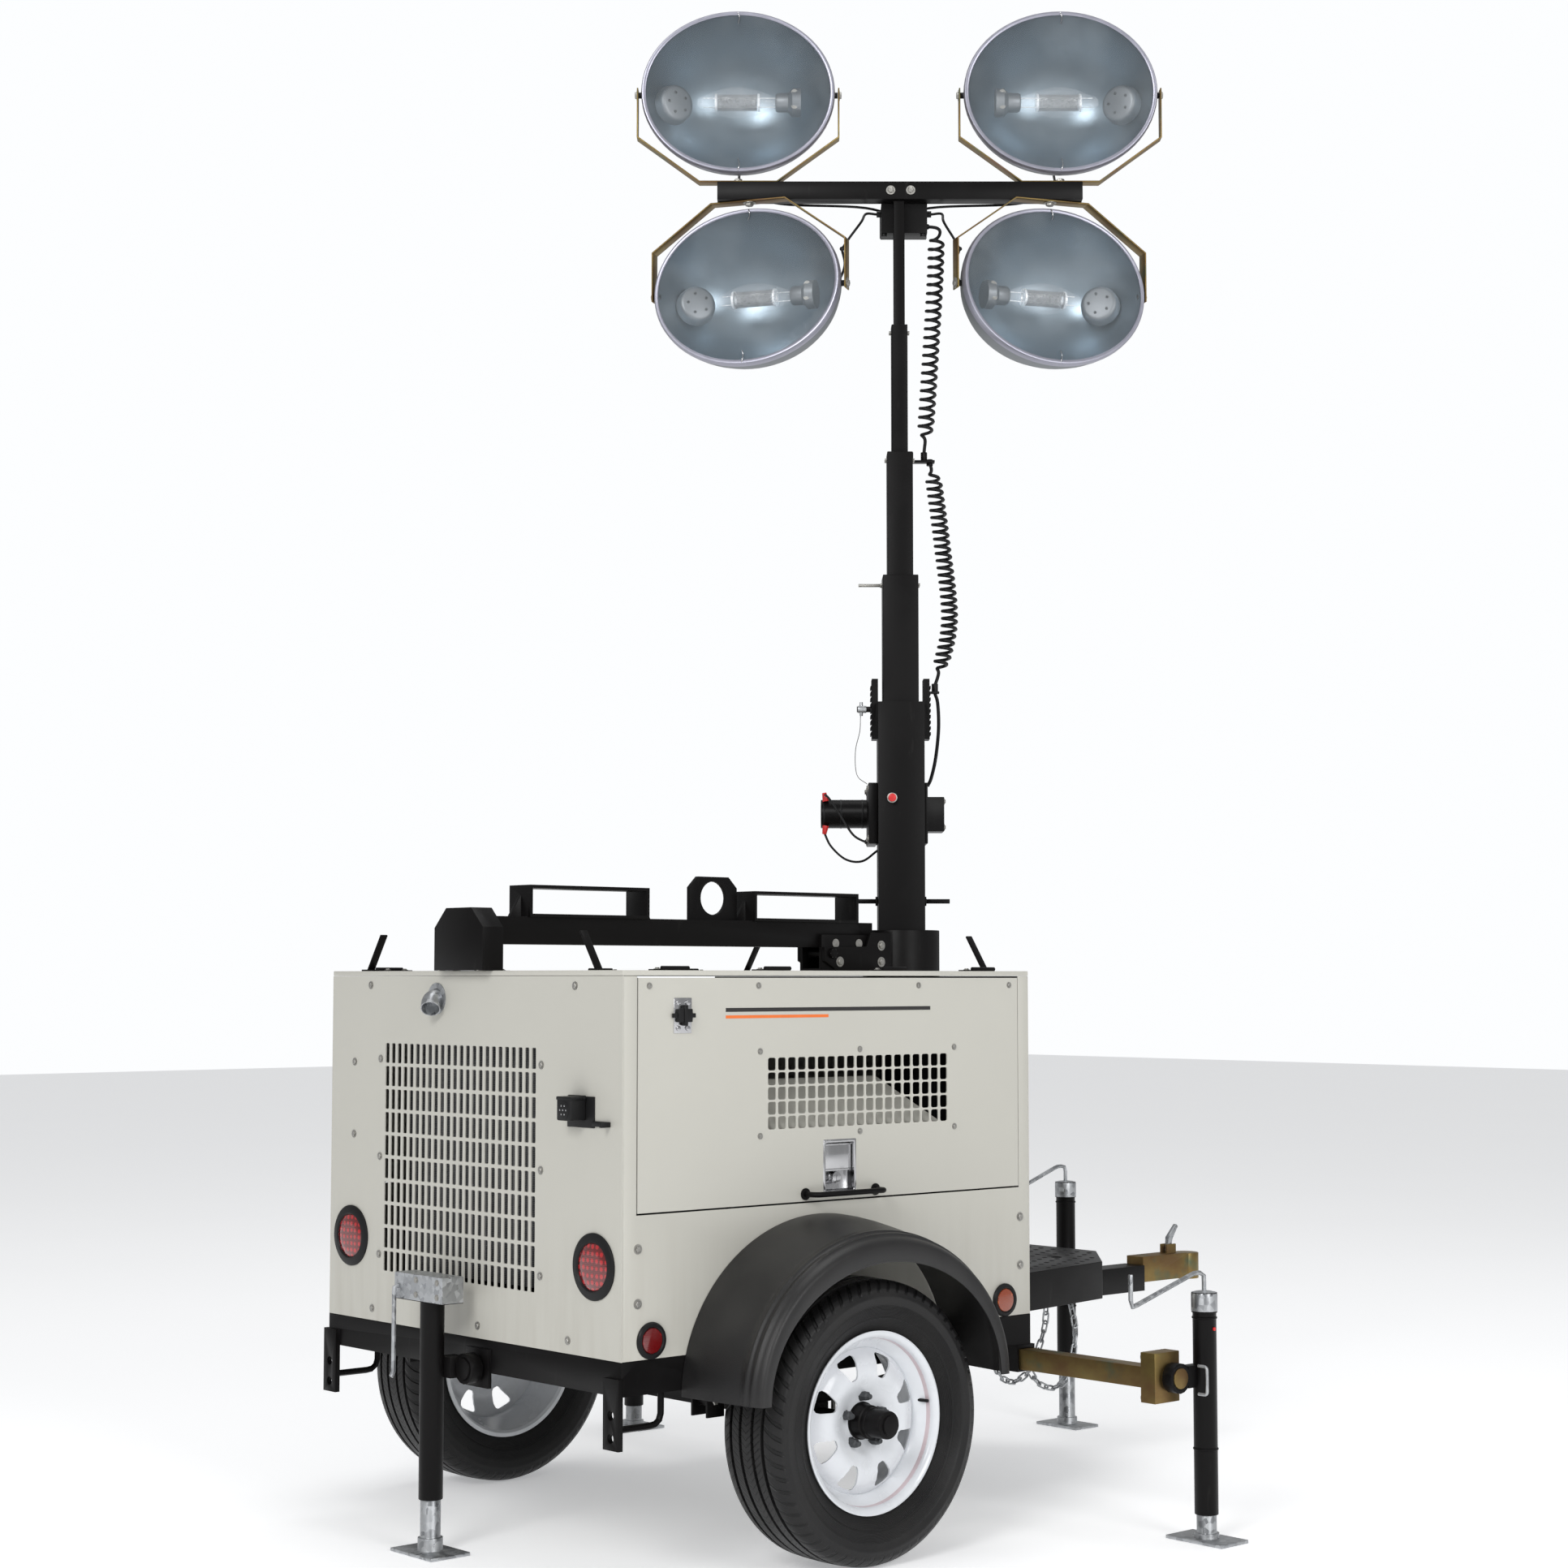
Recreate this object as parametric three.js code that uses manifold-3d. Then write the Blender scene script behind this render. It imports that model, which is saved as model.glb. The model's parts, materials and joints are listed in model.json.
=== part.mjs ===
// A towable light tower: a cabinet with a diesel generator on a single-axle trailer, with a
// folding, turning, five-section mast that carries four floodlights.
//
// Frame: +X points forward to the hitch, +Y to the left, +Z up, in millimetres. The sizes below
// are laid out from the cabinet's rear face (X = 0) on the centre line (Y = 0), with the ground at
// Z = 0. The whole group is then shifted so that the origin is the middle of the footprint.

import * as THREE from 'three';
import { mergeVertices } from 'three/addons/utils/BufferGeometryUtils.js';
import Module from 'manifold-3d';

const wasm = await Module();
wasm.setup();

// ---------------------------------------------------------------- driving dimensions

const GAP = 0.3; // between pieces that rest on each other
const SHEET = 3; // cabinet sheet steel

const FRONT_END = 2670; // coupler nose
const REAR_END = -135; // rear jack foot

const CABINET = { length: 1311, half: 595, bottom: 496, top: 1357 };
const ROOF_DEPTH = 12;
const DOOR = { from: 43.5, to: 1270.5, bottom: 818, top: 1340, flange: 22, seam: 4 };
const REAR_GRILLE = { left: 356, right: -278, bottom: 617, top: 1183, rows: 10 };
const DOOR_GRILLE = { from: 426, to: 1021, bottom: 987, top: 1157, rows: 5 };
const TAIL_LAMP = { y: 496, z: 697, hole: 62 };
const EXHAUST = { y: 130, z: 1290, hole: 30 };
const LATCH = { from: 602, to: 710, bottom: 829, top: 960, depth: 28 };
const GRAB_BAR = { from: 545, to: 771, z: 835, reach: 40, radius: 7 };

const RAIL = { width: 50, bottom: 420, top: CABINET.bottom - GAP };
const CROSS_MEMBERS = [300, 850];
const TONGUE = { half: 38, bottom: 421.5, top: 495.5, from: 900.5, to: 2400, wall: 5 };
const TIE_BAR = { inner: 545, outer: 600, bottom: 304, top: 460, thickness: 12 };
const DECK = { rear: 1312, front: 2050, top: 570, bottom: 470, plate: 6, skirt: 4 };

const AXLE = { x: 589, z: 325, beamHalf: 25, beamEnd: 600, spindle: 15, spindleEnd: 800 };
const SPRING = { y: 570, width: 44, reach: 320, eye: 14, eyeZ: 386 };
const TYRE = { y: 708, radius: 325, halfWidth: 98 };
const RIM = { flange: 208, seat: 196, well: 170, half: 77, wall: 4, bore: 16, hub: 32, hubEnd: 132 };
const FENDER = { inner: 597, outer: 840, base: 405, halfLength: 388, wall: 5 };

const OUTRIGGER = { x: 1290, z: 386, beam: 25, tube: 31, bore: 26, tubeEnd: 600, from: 420, to: 1040 };
const JACK = { radius: 28.5, bore: 25, ram: 24, head: 31, ringBore: 25.5, ring: 36, stub: 25 };
const SIDE_JACK = { x: 1384, y: 1097, bottom: 63, top: 539, headTop: 587, pivotX: 1300, pivotZ: 389 };
const REAR_JACK = { x: -80, y: 20, bottom: 125, top: 582, headTop: 644, pivotY: -60, pivotZ: 430 };
const TONGUE_JACK = { x: 2365, y: 242, bottom: 159, top: 680, headTop: 726, pivotX: 2281, pivotZ: 465 };

const LIFT_BEAM = { half: 32.5, bottom: 1421, top: 1488, from: 0, to: 1300 };
const FORK_POCKETS = [[150, 520], [870, 1240]];
const POCKET = { half: 43, top: 1565, strap: 8 };
const EYE = { from: 681, to: 840, top: 1600, holeZ: 1545, hole: 43, half: 6 };
const FOLD_PIVOT = { x: 1133, z: 1405, pin: 12 };
const MAST = { x: 1440, heading: -41.72 };
const SLEEVE = { outer: 105, bore: 92.5, bottom: 900, top: 1470 };
const MAST_SECTIONS = [
  { size: 127, bottom: 600, top: 2096, wall: 6 },
  { size: 98, bottom: 900, top: 2449, wall: 5 },
  { size: 71, bottom: 1200, top: 2795, wall: 4 },
  { size: 45, bottom: 1500, top: 3155, wall: 3 },
  { size: 31, bottom: 1800, top: 3510 - GAP, wall: 0 },
];
const LIGHT_BAR = { from: -508, to: 513, half: 25, bottom: 3510, top: 3560, wall: 4 };
const WINCH = { y: 125, z: 1798, drum: 28, flange: 40, motor: 40 };

const YOKE = { plate: 109, half: 284, slantRise: 128, rise: 253, strap: 4, width: 40 };
const LAMP = { half: 271, halfHeight: 231, front: 40, back: 200, wall: 4, trunnion: 9 };
const LAMPS = [
  { name: 'upper_left', along: -450, up: 1, yaw: 0, pitch: 0 },
  { name: 'upper_right', along: 453, up: 1, yaw: 0, pitch: 0 },
  { name: 'lower_left', along: -418, up: -1, yaw: -17, pitch: -8 },
  { name: 'lower_right', along: 424, up: -1, yaw: 17, pitch: -8 },
];
const COIL_RADIUS = 25;
const UPPER_COIL = [[108, 50, 3440], [104, 50, 3300], [88, 50, 3050], [74, 48, 2830]];
const LOWER_COIL = [[94, 48, 2770], [120, 48, 2550], [140, 48, 2338], [110, 48, 2175]];

// ---------------------------------------------------------------- materials

function paint(color, roughness, metalness) {
  return new THREE.MeshStandardMaterial({ color, roughness, metalness });
}

const CABINET_GREY = paint(0xb9b7ab, 0.5, 0);
const BLACK_COAT = paint(0x1b1b1c, 0.6, 0);
const BLACK_PLASTIC = paint(0x26272a, 0.5, 0);
const RUBBER = paint(0x1c1c1d, 0.8, 0);
const RIM_WHITE = paint(0xe4e4e6, 0.3, 0);
const ZINC_YELLOW = paint(0x8f7440, 0.35, 0.9);
const GALVANISED = paint(0xaeb2b6, 0.4, 0.9);
const CHROME = paint(0xd0d3d6, 0.15, 1);
const REFLECTOR = paint(0xa9b6c2, 0.3, 0.9);
const CAST_IRON = paint(0x4a4d50, 0.6, 0.6);

// ---------------------------------------------------------------- solids

function solidFrom(geometry) {
  const bare = geometry.clone();
  bare.deleteAttribute('normal');
  bare.deleteAttribute('uv');
  const merged = mergeVertices(bare, 1e-3);
  const corners = merged.index.array;
  const triangles = [];
  for (let i = 0; i < corners.length; i += 3) {
    const [a, b, c] = [corners[i], corners[i + 1], corners[i + 2]];
    if (a !== b && b !== c && c !== a) triangles.push(a, b, c);
  }
  const points = merged.attributes.position.array;
  if (signedVolume(points, triangles) < 0) triangles.reverse();
  const mesh = new wasm.Mesh({
    numProp: 3,
    vertProperties: Float32Array.from(points),
    triVerts: Uint32Array.from(triangles),
  });
  return new wasm.Manifold(mesh);
}

function signedVolume(points, triangles) {
  const corner = (i) => new THREE.Vector3().fromArray(points, 3 * i);
  let volume = 0;
  for (let i = 0; i < triangles.length; i += 3) {
    const [a, b, c] = [0, 1, 2].map((k) => corner(triangles[i + k]));
    volume += a.dot(b.cross(c));
  }
  return volume;
}

function geometryFrom(solid) {
  const mesh = solid.getMesh();
  const geometry = new THREE.BufferGeometry();
  geometry.setAttribute('position', new THREE.BufferAttribute(mesh.vertProperties, 3));
  geometry.setIndex(new THREE.BufferAttribute(mesh.triVerts, 1));
  geometry.computeVertexNormals();
  return geometry;
}

function join(...solids) {
  return solids.reduce((whole, next) => whole.add(next));
}

function cut(solid, ...tools) {
  return tools.reduce((rest, tool) => rest.subtract(tool), solid);
}

function block(x, y, z) {
  const [size, middle] = [[], []];
  for (const [low, high] of [x, y, z]) {
    size.push(Math.abs(high - low));
    middle.push((low + high) / 2);
  }
  return solidFrom(new THREE.BoxGeometry(...size).translate(...middle));
}

function rod(start, end, radius, sides = 16) {
  const from = new THREE.Vector3(...start);
  const along = new THREE.Vector3(...end).sub(from);
  const geometry = new THREE.CylinderGeometry(radius, radius, along.length(), sides);
  geometry.translate(0, along.length() / 2, 0);
  const turn = new THREE.Quaternion().setFromUnitVectors(
    new THREE.Vector3(0, 1, 0), along.normalize());
  return solidFrom(geometry.applyQuaternion(turn).translate(...start));
}

// An outline pushed along one axis: 'x' takes (y, z) points, 'y' takes (x, z), 'z' takes (x, y).
function prism(axis, [from, to], outline) {
  const [low, high] = [Math.min(from, to), Math.max(from, to)];
  const shape = new THREE.Shape(outline.map(([a, b]) => new THREE.Vector2(a, b)));
  const geometry = new THREE.ExtrudeGeometry(shape, { depth: high - low, bevelEnabled: false });
  if (axis === 'z') geometry.translate(0, 0, low);
  if (axis === 'y') geometry.rotateX(Math.PI / 2).translate(0, high, 0);
  if (axis === 'x') geometry.rotateX(Math.PI / 2).rotateZ(Math.PI / 2).translate(low, 0, 0);
  return solidFrom(geometry);
}

// A profile of (radius, height) points turned about the Z axis.
function turned(profile, sides) {
  const points = profile.map(([radius, height]) => new THREE.Vector2(radius, height));
  return solidFrom(new THREE.LatheGeometry(points, sides).rotateX(Math.PI / 2));
}

// A round bar along corner points, with bends of the given reach.
function bentRod(corners, radius, bend, steps = 14, sides = 6) {
  const points = corners.map((corner) => new THREE.Vector3(...corner));
  const path = new THREE.CurvePath();
  let last = points[0];
  for (let i = 1; i < points.length - 1; i += 1) {
    const before = points[i].clone().lerp(points[i - 1], bend / points[i].distanceTo(points[i - 1]));
    const after = points[i].clone().lerp(points[i + 1], bend / points[i].distanceTo(points[i + 1]));
    path.add(new THREE.LineCurve3(last, before));
    path.add(new THREE.QuadraticBezierCurve3(before, points[i], after));
    last = after;
  }
  path.add(new THREE.LineCurve3(last, points.at(-1)));
  return sweep(path, radius, steps, sides);
}

function sweep(path, radius, steps, sides) {
  const section = new THREE.Shape();
  for (let i = 0; i < sides; i += 1) {
    const angle = (2 * Math.PI * i) / sides;
    const move = i === 0 ? 'moveTo' : 'lineTo';
    section[move](radius * Math.cos(angle), radius * Math.sin(angle));
  }
  section.closePath();
  const options = { steps, extrudePath: path, bevelEnabled: false };
  return solidFrom(new THREE.ExtrudeGeometry(section, options));
}

// A square tube along Z that is open at both ends, or a solid bar where wall is 0.
function squareTube(size, bottom, top, wall) {
  const half = size / 2;
  const outside = block([-half, half], [-half, half], [bottom, top]);
  if (wall === 0) return outside;
  const bore = half - wall;
  return cut(outside, block([-bore, bore], [-bore, bore], [bottom - 1, top + 1]));
}

// ---------------------------------------------------------------- the scene graph

const trailer = new THREE.Group();
trailer.position.x = -(FRONT_END + REAR_END) / 2;

function piece(parent, name, material, solid) {
  const mesh = new THREE.Mesh(geometryFrom(solid), material);
  mesh.name = name;
  parent.add(mesh);
  return mesh;
}

function group(parent, x, y, z) {
  const place = new THREE.Group();
  place.position.set(x, y, z);
  parent.add(place);
  return place;
}

const SIDES = [['left', 1], ['right', -1]];

// ---------------------------------------------------------------- chassis

function chassisFrame() {
  const { width, bottom, top } = RAIL;
  const outer = CABINET.half;
  const end = CABINET.length;
  const height = [bottom, top];
  const parts = [block([0, width], [-outer, outer], height)];
  for (const [, side] of SIDES) {
    parts.push(block([0, end], [side * (outer - width), side * outer], height));
    parts.push(block([end - width, end], [side * (TONGUE.half + 1), side * outer], height));
    parts.push(...tieDownCorner(side), ...springHangers(side));
  }
  for (const x of CROSS_MEMBERS) parts.push(block([x, x + width], [-outer, outer], height));
  const { x, z, tube, bore, tubeEnd } = OUTRIGGER;
  parts.push(block([x - tube, x + tube], [-tubeEnd, tubeEnd], [z - tube, bottom + 1]));
  const { pivotY, pivotZ } = REAR_JACK;
  parts.push(rod([1, pivotY, pivotZ], [-50, pivotY, pivotZ], JACK.stub));
  parts.push(block([-8, 2], [pivotY - 45, pivotY + 45], [pivotZ - 45, pivotZ + 45]));
  const tunnel = block([x - bore, x + bore], [-tubeEnd - 1, tubeEnd + 1], [z - bore, z + bore]);
  return cut(join(...parts), tunnel);
}

function tieDownCorner(side) {
  const { inner, outer, bottom, top, thickness } = TIE_BAR;
  const middle = (side * (inner + outer)) / 2;
  const bar = block([-thickness, 1], [side * inner, side * outer], [bottom, top]);
  const holes = [bottom + 26, bottom + 76].map(
    (z) => rod([-thickness - 1, middle, z], [2, middle, z], 11, 12));
  const loopZ = bottom + 42;
  const loop = bentRod([[-6, middle, loopZ], [130, middle, loopZ], [130, middle, 430]], 8, 30);
  return [cut(bar, ...holes), loop];
}

function springHangers(side) {
  const plate = 6;
  const inside = SPRING.width / 2 + 1;
  const hangers = [];
  for (const x of [AXLE.x - SPRING.reach, AXLE.x + SPRING.reach]) {
    for (const near of [inside, -inside - plate]) {
      const y = side * (SPRING.y + near);
      hangers.push(block([x - 25, x + 25], [y, y + side * plate], [350, RAIL.bottom + 15]));
    }
  }
  return hangers;
}

function tongueBeam() {
  const { half, bottom, top, from, to, wall } = TONGUE;
  const tube = block([from, to], [-half, half], [bottom, top]);
  const bore = block([from - 1, to + 1], [wall - half, half - wall], [bottom + wall, top - wall]);
  const { pivotX, pivotZ, y } = TONGUE_JACK;
  const stub = rod([pivotX, half - wall + 1, pivotZ], [pivotX, y - 4, pivotZ], JACK.stub);
  const pad = block([pivotX - 45, pivotX + 45], [half - 1, half + 8], [bottom + 2, top - 2]);
  return join(cut(tube, bore), pad, stub);
}

function tongueDeck() {
  const { rear, front, top, bottom, plate, skirt } = DECK;
  const outline = (inset) => {
    const [nose, shoulder, tail] = [160 - inset / 2, 360 - inset, 450 - inset];
    const half = [[rear, tail], [front - 200, shoulder], [front - inset, nose]];
    return [...half, ...half.map(([x, y]) => [x, -y]).reverse()];
  };
  const outside = prism('z', [bottom, top], outline(0));
  const inside = prism('z', [bottom - 1, top - plate], outline(skirt));
  const openRear = block([rear - 1, rear + skirt + 1], [-440, 440], [bottom - 1, top - plate]);
  const notchHalf = TONGUE.half + 2;
  const notch = block([front - 20, front + 1], [-notchHalf, notchHalf], [bottom - 1, TONGUE.top + 1]);
  const posts = [1500, 1900].map(
    (x) => block([x, x + 40], [-34, 34], [TONGUE.top + GAP, top - plate + 1]));
  const holes = [];
  for (const x of [1420, 1560, 1700, 1840]) {
    for (const y of [-200, 0, 200]) holes.push(rod([x, y, top - 20], [x, y, top + 1], 16, 10));
  }
  return cut(join(cut(outside, inside, openRear, notch), ...posts), ...holes);
}

function coupler() {
  const from = TONGUE.to + GAP + 0.2;
  const body = block([from, 2600], [-32, 32], [445, 519]);
  const nose = rod([2630, 0, 440], [2630, 0, 516], 40, 24);
  const neck = block([2590, 2630], [-32, 32], [445, 516]);
  const socket = rod([2630, 0, 430], [2630, 0, 492], 27, 20);
  const ears = [1, -1].map((side) => block([2530, 2572], [side * 8, side * 14], [515, 546]));
  return cut(join(body, neck, nose, ...ears), socket);
}

function couplerLatch() {
  const lever = [[2543, 525], [2557, 525], [2566, 560], [2592, 596], [2584, 603], [2546, 566]];
  return prism('y', [-6, 6], lever);
}

function axleAssembly() {
  const { x, z, beamHalf, beamEnd, spindle, spindleEnd } = AXLE;
  const parts = [
    block([x - beamHalf, x + beamHalf], [-beamEnd, beamEnd], [z - beamHalf, z + beamHalf]),
    rod([x, -spindleEnd, z], [x, spindleEnd, z], spindle),
  ];
  for (const [, side] of SIDES) {
    const inner = side * (SPRING.y - SPRING.width / 2);
    const outer = side * (SPRING.y + SPRING.width / 2);
    parts.push(prism('y', [inner, outer], leafSpringOutline()));
    for (const end of [-SPRING.reach, SPRING.reach]) {
      parts.push(rod([x + end, inner, SPRING.eyeZ], [x + end, outer, SPRING.eyeZ], SPRING.eye));
    }
  }
  return join(...parts);
}

function leafSpringOutline() {
  const upper = [];
  const lower = [];
  for (let i = -3; i <= 3; i += 1) {
    const along = i / 3;
    const middle = 360 + (SPRING.eyeZ - 360) * along * along;
    const thickness = 7 + 6 * (1 - Math.abs(along));
    upper.push([AXLE.x + SPRING.reach * along, middle + thickness]);
    lower.unshift([AXLE.x + SPRING.reach * along, middle - thickness]);
  }
  return [...upper, ...lower];
}

// ---------------------------------------------------------------- wheels and fenders

// Turned about Z first, then laid over so that +Z points outward on the given side.
function wheelSolid(solid, side) {
  return solid.rotate([side > 0 ? -90 : 90, 0, 0]);
}

function wheelRim() {
  const { flange, seat, well, half, wall, bore, hub, hubEnd } = RIM;
  const outside = [[flange, half], [seat, half - 7], [well, 30], [well, -5]];
  outside.push([seat, 7 - half], [flange, -half]);
  const inside = outside.map(([r, z]) => [r - wall, z]).reverse();
  const barrel = turned([...outside, ...inside, outside[0]], 24);
  const face = [[hub - 2, 34], [118, 52], [well - 1, 24]];
  const back = face.map(([r, z]) => [r, z - 5]).reverse();
  const windows = [];
  for (let i = 0; i < 8; i += 1) {
    const window = prism('z', [0, 70], [[108, 0], [122, 20], [152, 24], [152, -24], [122, -20]]);
    windows.push(window.rotate([0, 0, 45 * i]));
  }
  const disc = cut(turned([...face, ...back, face[0]], 24), ...windows);
  const hubBody = rod([0, 0, 8], [0, 0, hubEnd], hub, 16);
  const hubBore = rod([0, 0, 0], [0, 0, AXLE.spindleEnd - TYRE.y + 3], bore, 16);
  return cut(join(barrel, disc, hubBody), hubBore);
}

function tyre() {
  const { radius, halfWidth } = TYRE;
  const bead = RIM.seat + 0.8;
  const outside = [[bead, 46], [bead, 69], [212, 69], [256, halfWidth], [302, halfWidth - 3]];
  outside.push([radius, halfWidth - 22]);
  const inside = [[244, 78], [304, 74]];
  const mirrored = (points) => points.map(([r, z]) => [r, -z]).reverse();
  const ring = [...outside, ...mirrored(outside), ...mirrored(inside).reverse()];
  return turned([...ring, ...inside.reverse(), outside[0]], 32);
}

// The fender is an arch of sheet that falls from the cabinet side to a rolled outer lip.
function fender(side) {
  const { inner, outer, base, halfLength, wall } = FENDER;
  const crown = [[inner, 383], [inner + 60, 378], [inner + 150, 364], [outer - 14, 342]];
  const section = [...crown, [outer, 331], [outer, 288]];
  const lining = [[inner, 378], [inner + 60, 373], [inner + 149, 359], [outer - 16, 337]];
  const ring = [...section, [outer - wall, 288], [outer - wall, 327], ...lining.reverse()];
  const steps = 16;
  const points = [];
  for (let i = 0; i <= steps; i += 1) {
    const angle = (Math.PI * i) / steps;
    for (const [y, rise] of ring) {
      const reach = halfLength + (rise - 331) * 0.6;
      points.push([AXLE.x + reach * Math.cos(angle), side * y, base + rise * Math.sin(angle)]);
    }
  }
  return loft(points, ring.length, steps);
}

// Closes a row of equal rings of points into a solid. The first ring is triangulated in (x, y),
// and both end caps follow the order of the ring's own points.
function loft(points, count, steps) {
  const faces = [];
  for (let i = 0; i < steps; i += 1) {
    for (let k = 0; k < count; k += 1) {
      const [a, b] = [i * count + k, i * count + ((k + 1) % count)];
      faces.push(a, b, b + count, a, b + count, a + count);
    }
  }
  const ring = points.slice(0, count).map(([x, y]) => new THREE.Vector2(x, y));
  const ringTurn = Math.sign(THREE.ShapeUtils.area(ring));
  for (const [a, b, c] of THREE.ShapeUtils.triangulateShape(ring, [])) {
    const sameTurn = Math.sign(THREE.ShapeUtils.area([ring[a], ring[b], ring[c]])) === ringTurn;
    const [first, second] = sameTurn ? [b, c] : [c, b];
    const last = steps * count;
    faces.push(second, first, a, last + a, last + first, last + second);
  }
  const geometry = new THREE.BufferGeometry();
  geometry.setAttribute('position', new THREE.Float32BufferAttribute(points.flat(), 3));
  geometry.setIndex(faces);
  return solidFrom(geometry);
}

// ---------------------------------------------------------------- cabinet

function cabinetShell() {
  const { length, half, bottom } = CABINET;
  const top = CABINET.top - ROOF_DEPTH - 0.7;
  const rear = SHEET + GAP;
  const outside = block([rear, length], [-half, half], [bottom, top]);
  const inner = half - SHEET;
  const room = block([rear + SHEET, length - SHEET], [-inner, inner], [bottom + SHEET, top + 1]);
  const rearOpening = block([0, rear + SHEET + 1], [-560, 560], [540, 1310]);
  const doorway = block([DOOR.from - 2.5, DOOR.to + 2.5], [-half - 1, half + 1],
    [DOOR.bottom - DOOR.seam, top + 1]);
  return cut(outside, room, rearOpening, doorway);
}

function slots(rows, [low, high], makeSlot) {
  const pitch = (high - low) / rows;
  return Array.from({ length: rows }, (_, i) => {
    const bottom = low + i * pitch;
    return makeSlot([bottom + pitch * 0.1, bottom + pitch * 0.9]);
  });
}

function rearPanel() {
  const top = CABINET.top - ROOF_DEPTH - 0.7;
  const sheet = block([0, SHEET], [-CABINET.half, CABINET.half], [CABINET.bottom, top]);
  const { left, right, bottom, top: grilleTop, rows } = REAR_GRILLE;
  const grille = slots(rows, [bottom, grilleTop], (z) => block([-1, 4], [right, left], z));
  const lamps = [1, -1].map((side) => {
    const y = side * TAIL_LAMP.y;
    return rod([-1, y, TAIL_LAMP.z], [4, y, TAIL_LAMP.z], TAIL_LAMP.hole, 24);
  });
  const { y, z, hole } = EXHAUST;
  return cut(sheet, ...grille, ...lamps, rod([-1, y, z], [4, y, z], hole, 16));
}

function roofPanel() {
  const { length, half, top } = CABINET;
  const outside = block([0, length], [-half, half], [top - ROOF_DEPTH, top]);
  const inside = block([SHEET, length - SHEET], [SHEET - half, half - SHEET],
    [top - ROOF_DEPTH - 1, top - SHEET]);
  return cut(outside, inside);
}

function door(side) {
  const { from, to, bottom, top, flange } = DOOR;
  const face = side * CABINET.half;
  const back = side * (CABINET.half - flange);
  const skin = side * (CABINET.half - SHEET);
  const tray = cut(
    block([from, to], [face, back], [bottom, top]),
    block([from + SHEET, to - SHEET], [skin, back - side], [bottom + SHEET, top - SHEET]));
  const grille = slots(DOOR_GRILLE.rows, [DOOR_GRILLE.bottom, DOOR_GRILLE.top],
    (z) => block([DOOR_GRILLE.from, DOOR_GRILLE.to], [face + side, skin - side], z));
  const { depth } = LATCH;
  const dish = block([LATCH.from, LATCH.to], [face + side * 2, face - side * depth],
    [LATCH.bottom, LATCH.top]);
  const well = block([LATCH.from + 4, LATCH.to - 4], [face + side * 3, face - side * (depth - 4)],
    [LATCH.bottom + 4, LATCH.top - 4]);
  const bar = grabBar(side);
  return join(cut(join(cut(tray, ...grille), dish), well), bar);
}

function grabBar(side) {
  const { from, to, z, reach, radius } = GRAB_BAR;
  const stand = side * (CABINET.half + reach);
  const foot = side * (CABINET.half - 1);
  const corners = [[from, foot, z], [from, stand, z], [to, stand, z], [to, foot, z]];
  return bentRod(corners, radius, 18, 16);
}

function paddleLatch(side) {
  const face = side * CABINET.half;
  return block([LATCH.from + 6, LATCH.to - 6], [face - side * 10, face - side * 5],
    [LATCH.bottom + 21, LATCH.top - 10]);
}

// ---------------------------------------------------------------- inside the cabinet

const FLOOR = CABINET.bottom + SHEET + GAP;

function radiator() {
  const core = block([60, 130], [-270, 340], [620, 1180]);
  const tank = block([50, 140], [-250, 320], [1175, 1220]);
  const feet = [-240, 290].map((y) => block([60, 130], [y, y + 40], [FLOOR, 625]));
  return join(core, tank, ...feet);
}

function engineBlock() {
  const parts = [
    block([300, 700], [-130, 150], [640, 860]),
    block([320, 680], [-100, 120], [560, 645]),
    block([310, 690], [-110, 110], [855, 960]),
    block([330, 670], [-50, 70], [955, 1000]),
    rod([690, 10, 740], [760, 10, 740], 170, 24),
    rod([230, 10, 740], [305, 10, 740], 75, 20),
    rod([200, 10, 820], [215, 10, 820], 190, 24),
    rod([214, 10, 820], [305, 10, 820], 30, 16),
    rod([480, -125, 700], [480, -215, 700], 42, 16),
  ];
  for (const x of [340, 620]) parts.push(block([x, x + 50], [-180, 200], [600, 650]));
  for (const y of [-180, 160]) parts.push(block([330, 680], [y, y + 40], [FLOOR, 604]));
  return join(...parts);
}

function alternator() {
  const drum = rod([760 + GAP, 10, 740], [1130, 10, 740], 150, 24);
  const box = block([830, 1070], [-90, 110], [880, 985]);
  const feet = [-110, 90].map((y) => block([820, 1080], [y, y + 40], [FLOOR, 640]));
  return join(drum, box, ...feet);
}

function fuelTank() {
  const body = block([290, 1200], [260, 540], [FLOOR, 760]);
  return join(body, rod([1120, 400, 755], [1120, 400, 805], 38, 20));
}

function muffler() {
  const can = rod([330, 0, 1180], [800, 0, 1180], 75, 24);
  const outlet = bentRod([[340, 60, 1180], [200, 110, 1230], [60, EXHAUST.y, EXHAUST.z],
    [12, EXHAUST.y, EXHAUST.z]], 21, 30, 12, 8);
  const legs = [390, 700].map((x) => block([x, x + 30], [-30, 30], [1000 + GAP, 1110]));
  return join(can, outlet, ...legs);
}

function controlPanel() {
  const box = block([1040, 1255], [-530, -330], [850, 1220]);
  const leg = block([1060, 1235], [-500, -360], [FLOOR, 852]);
  return join(box, leg);
}

// ---------------------------------------------------------------- lift frame and mast base

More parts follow.
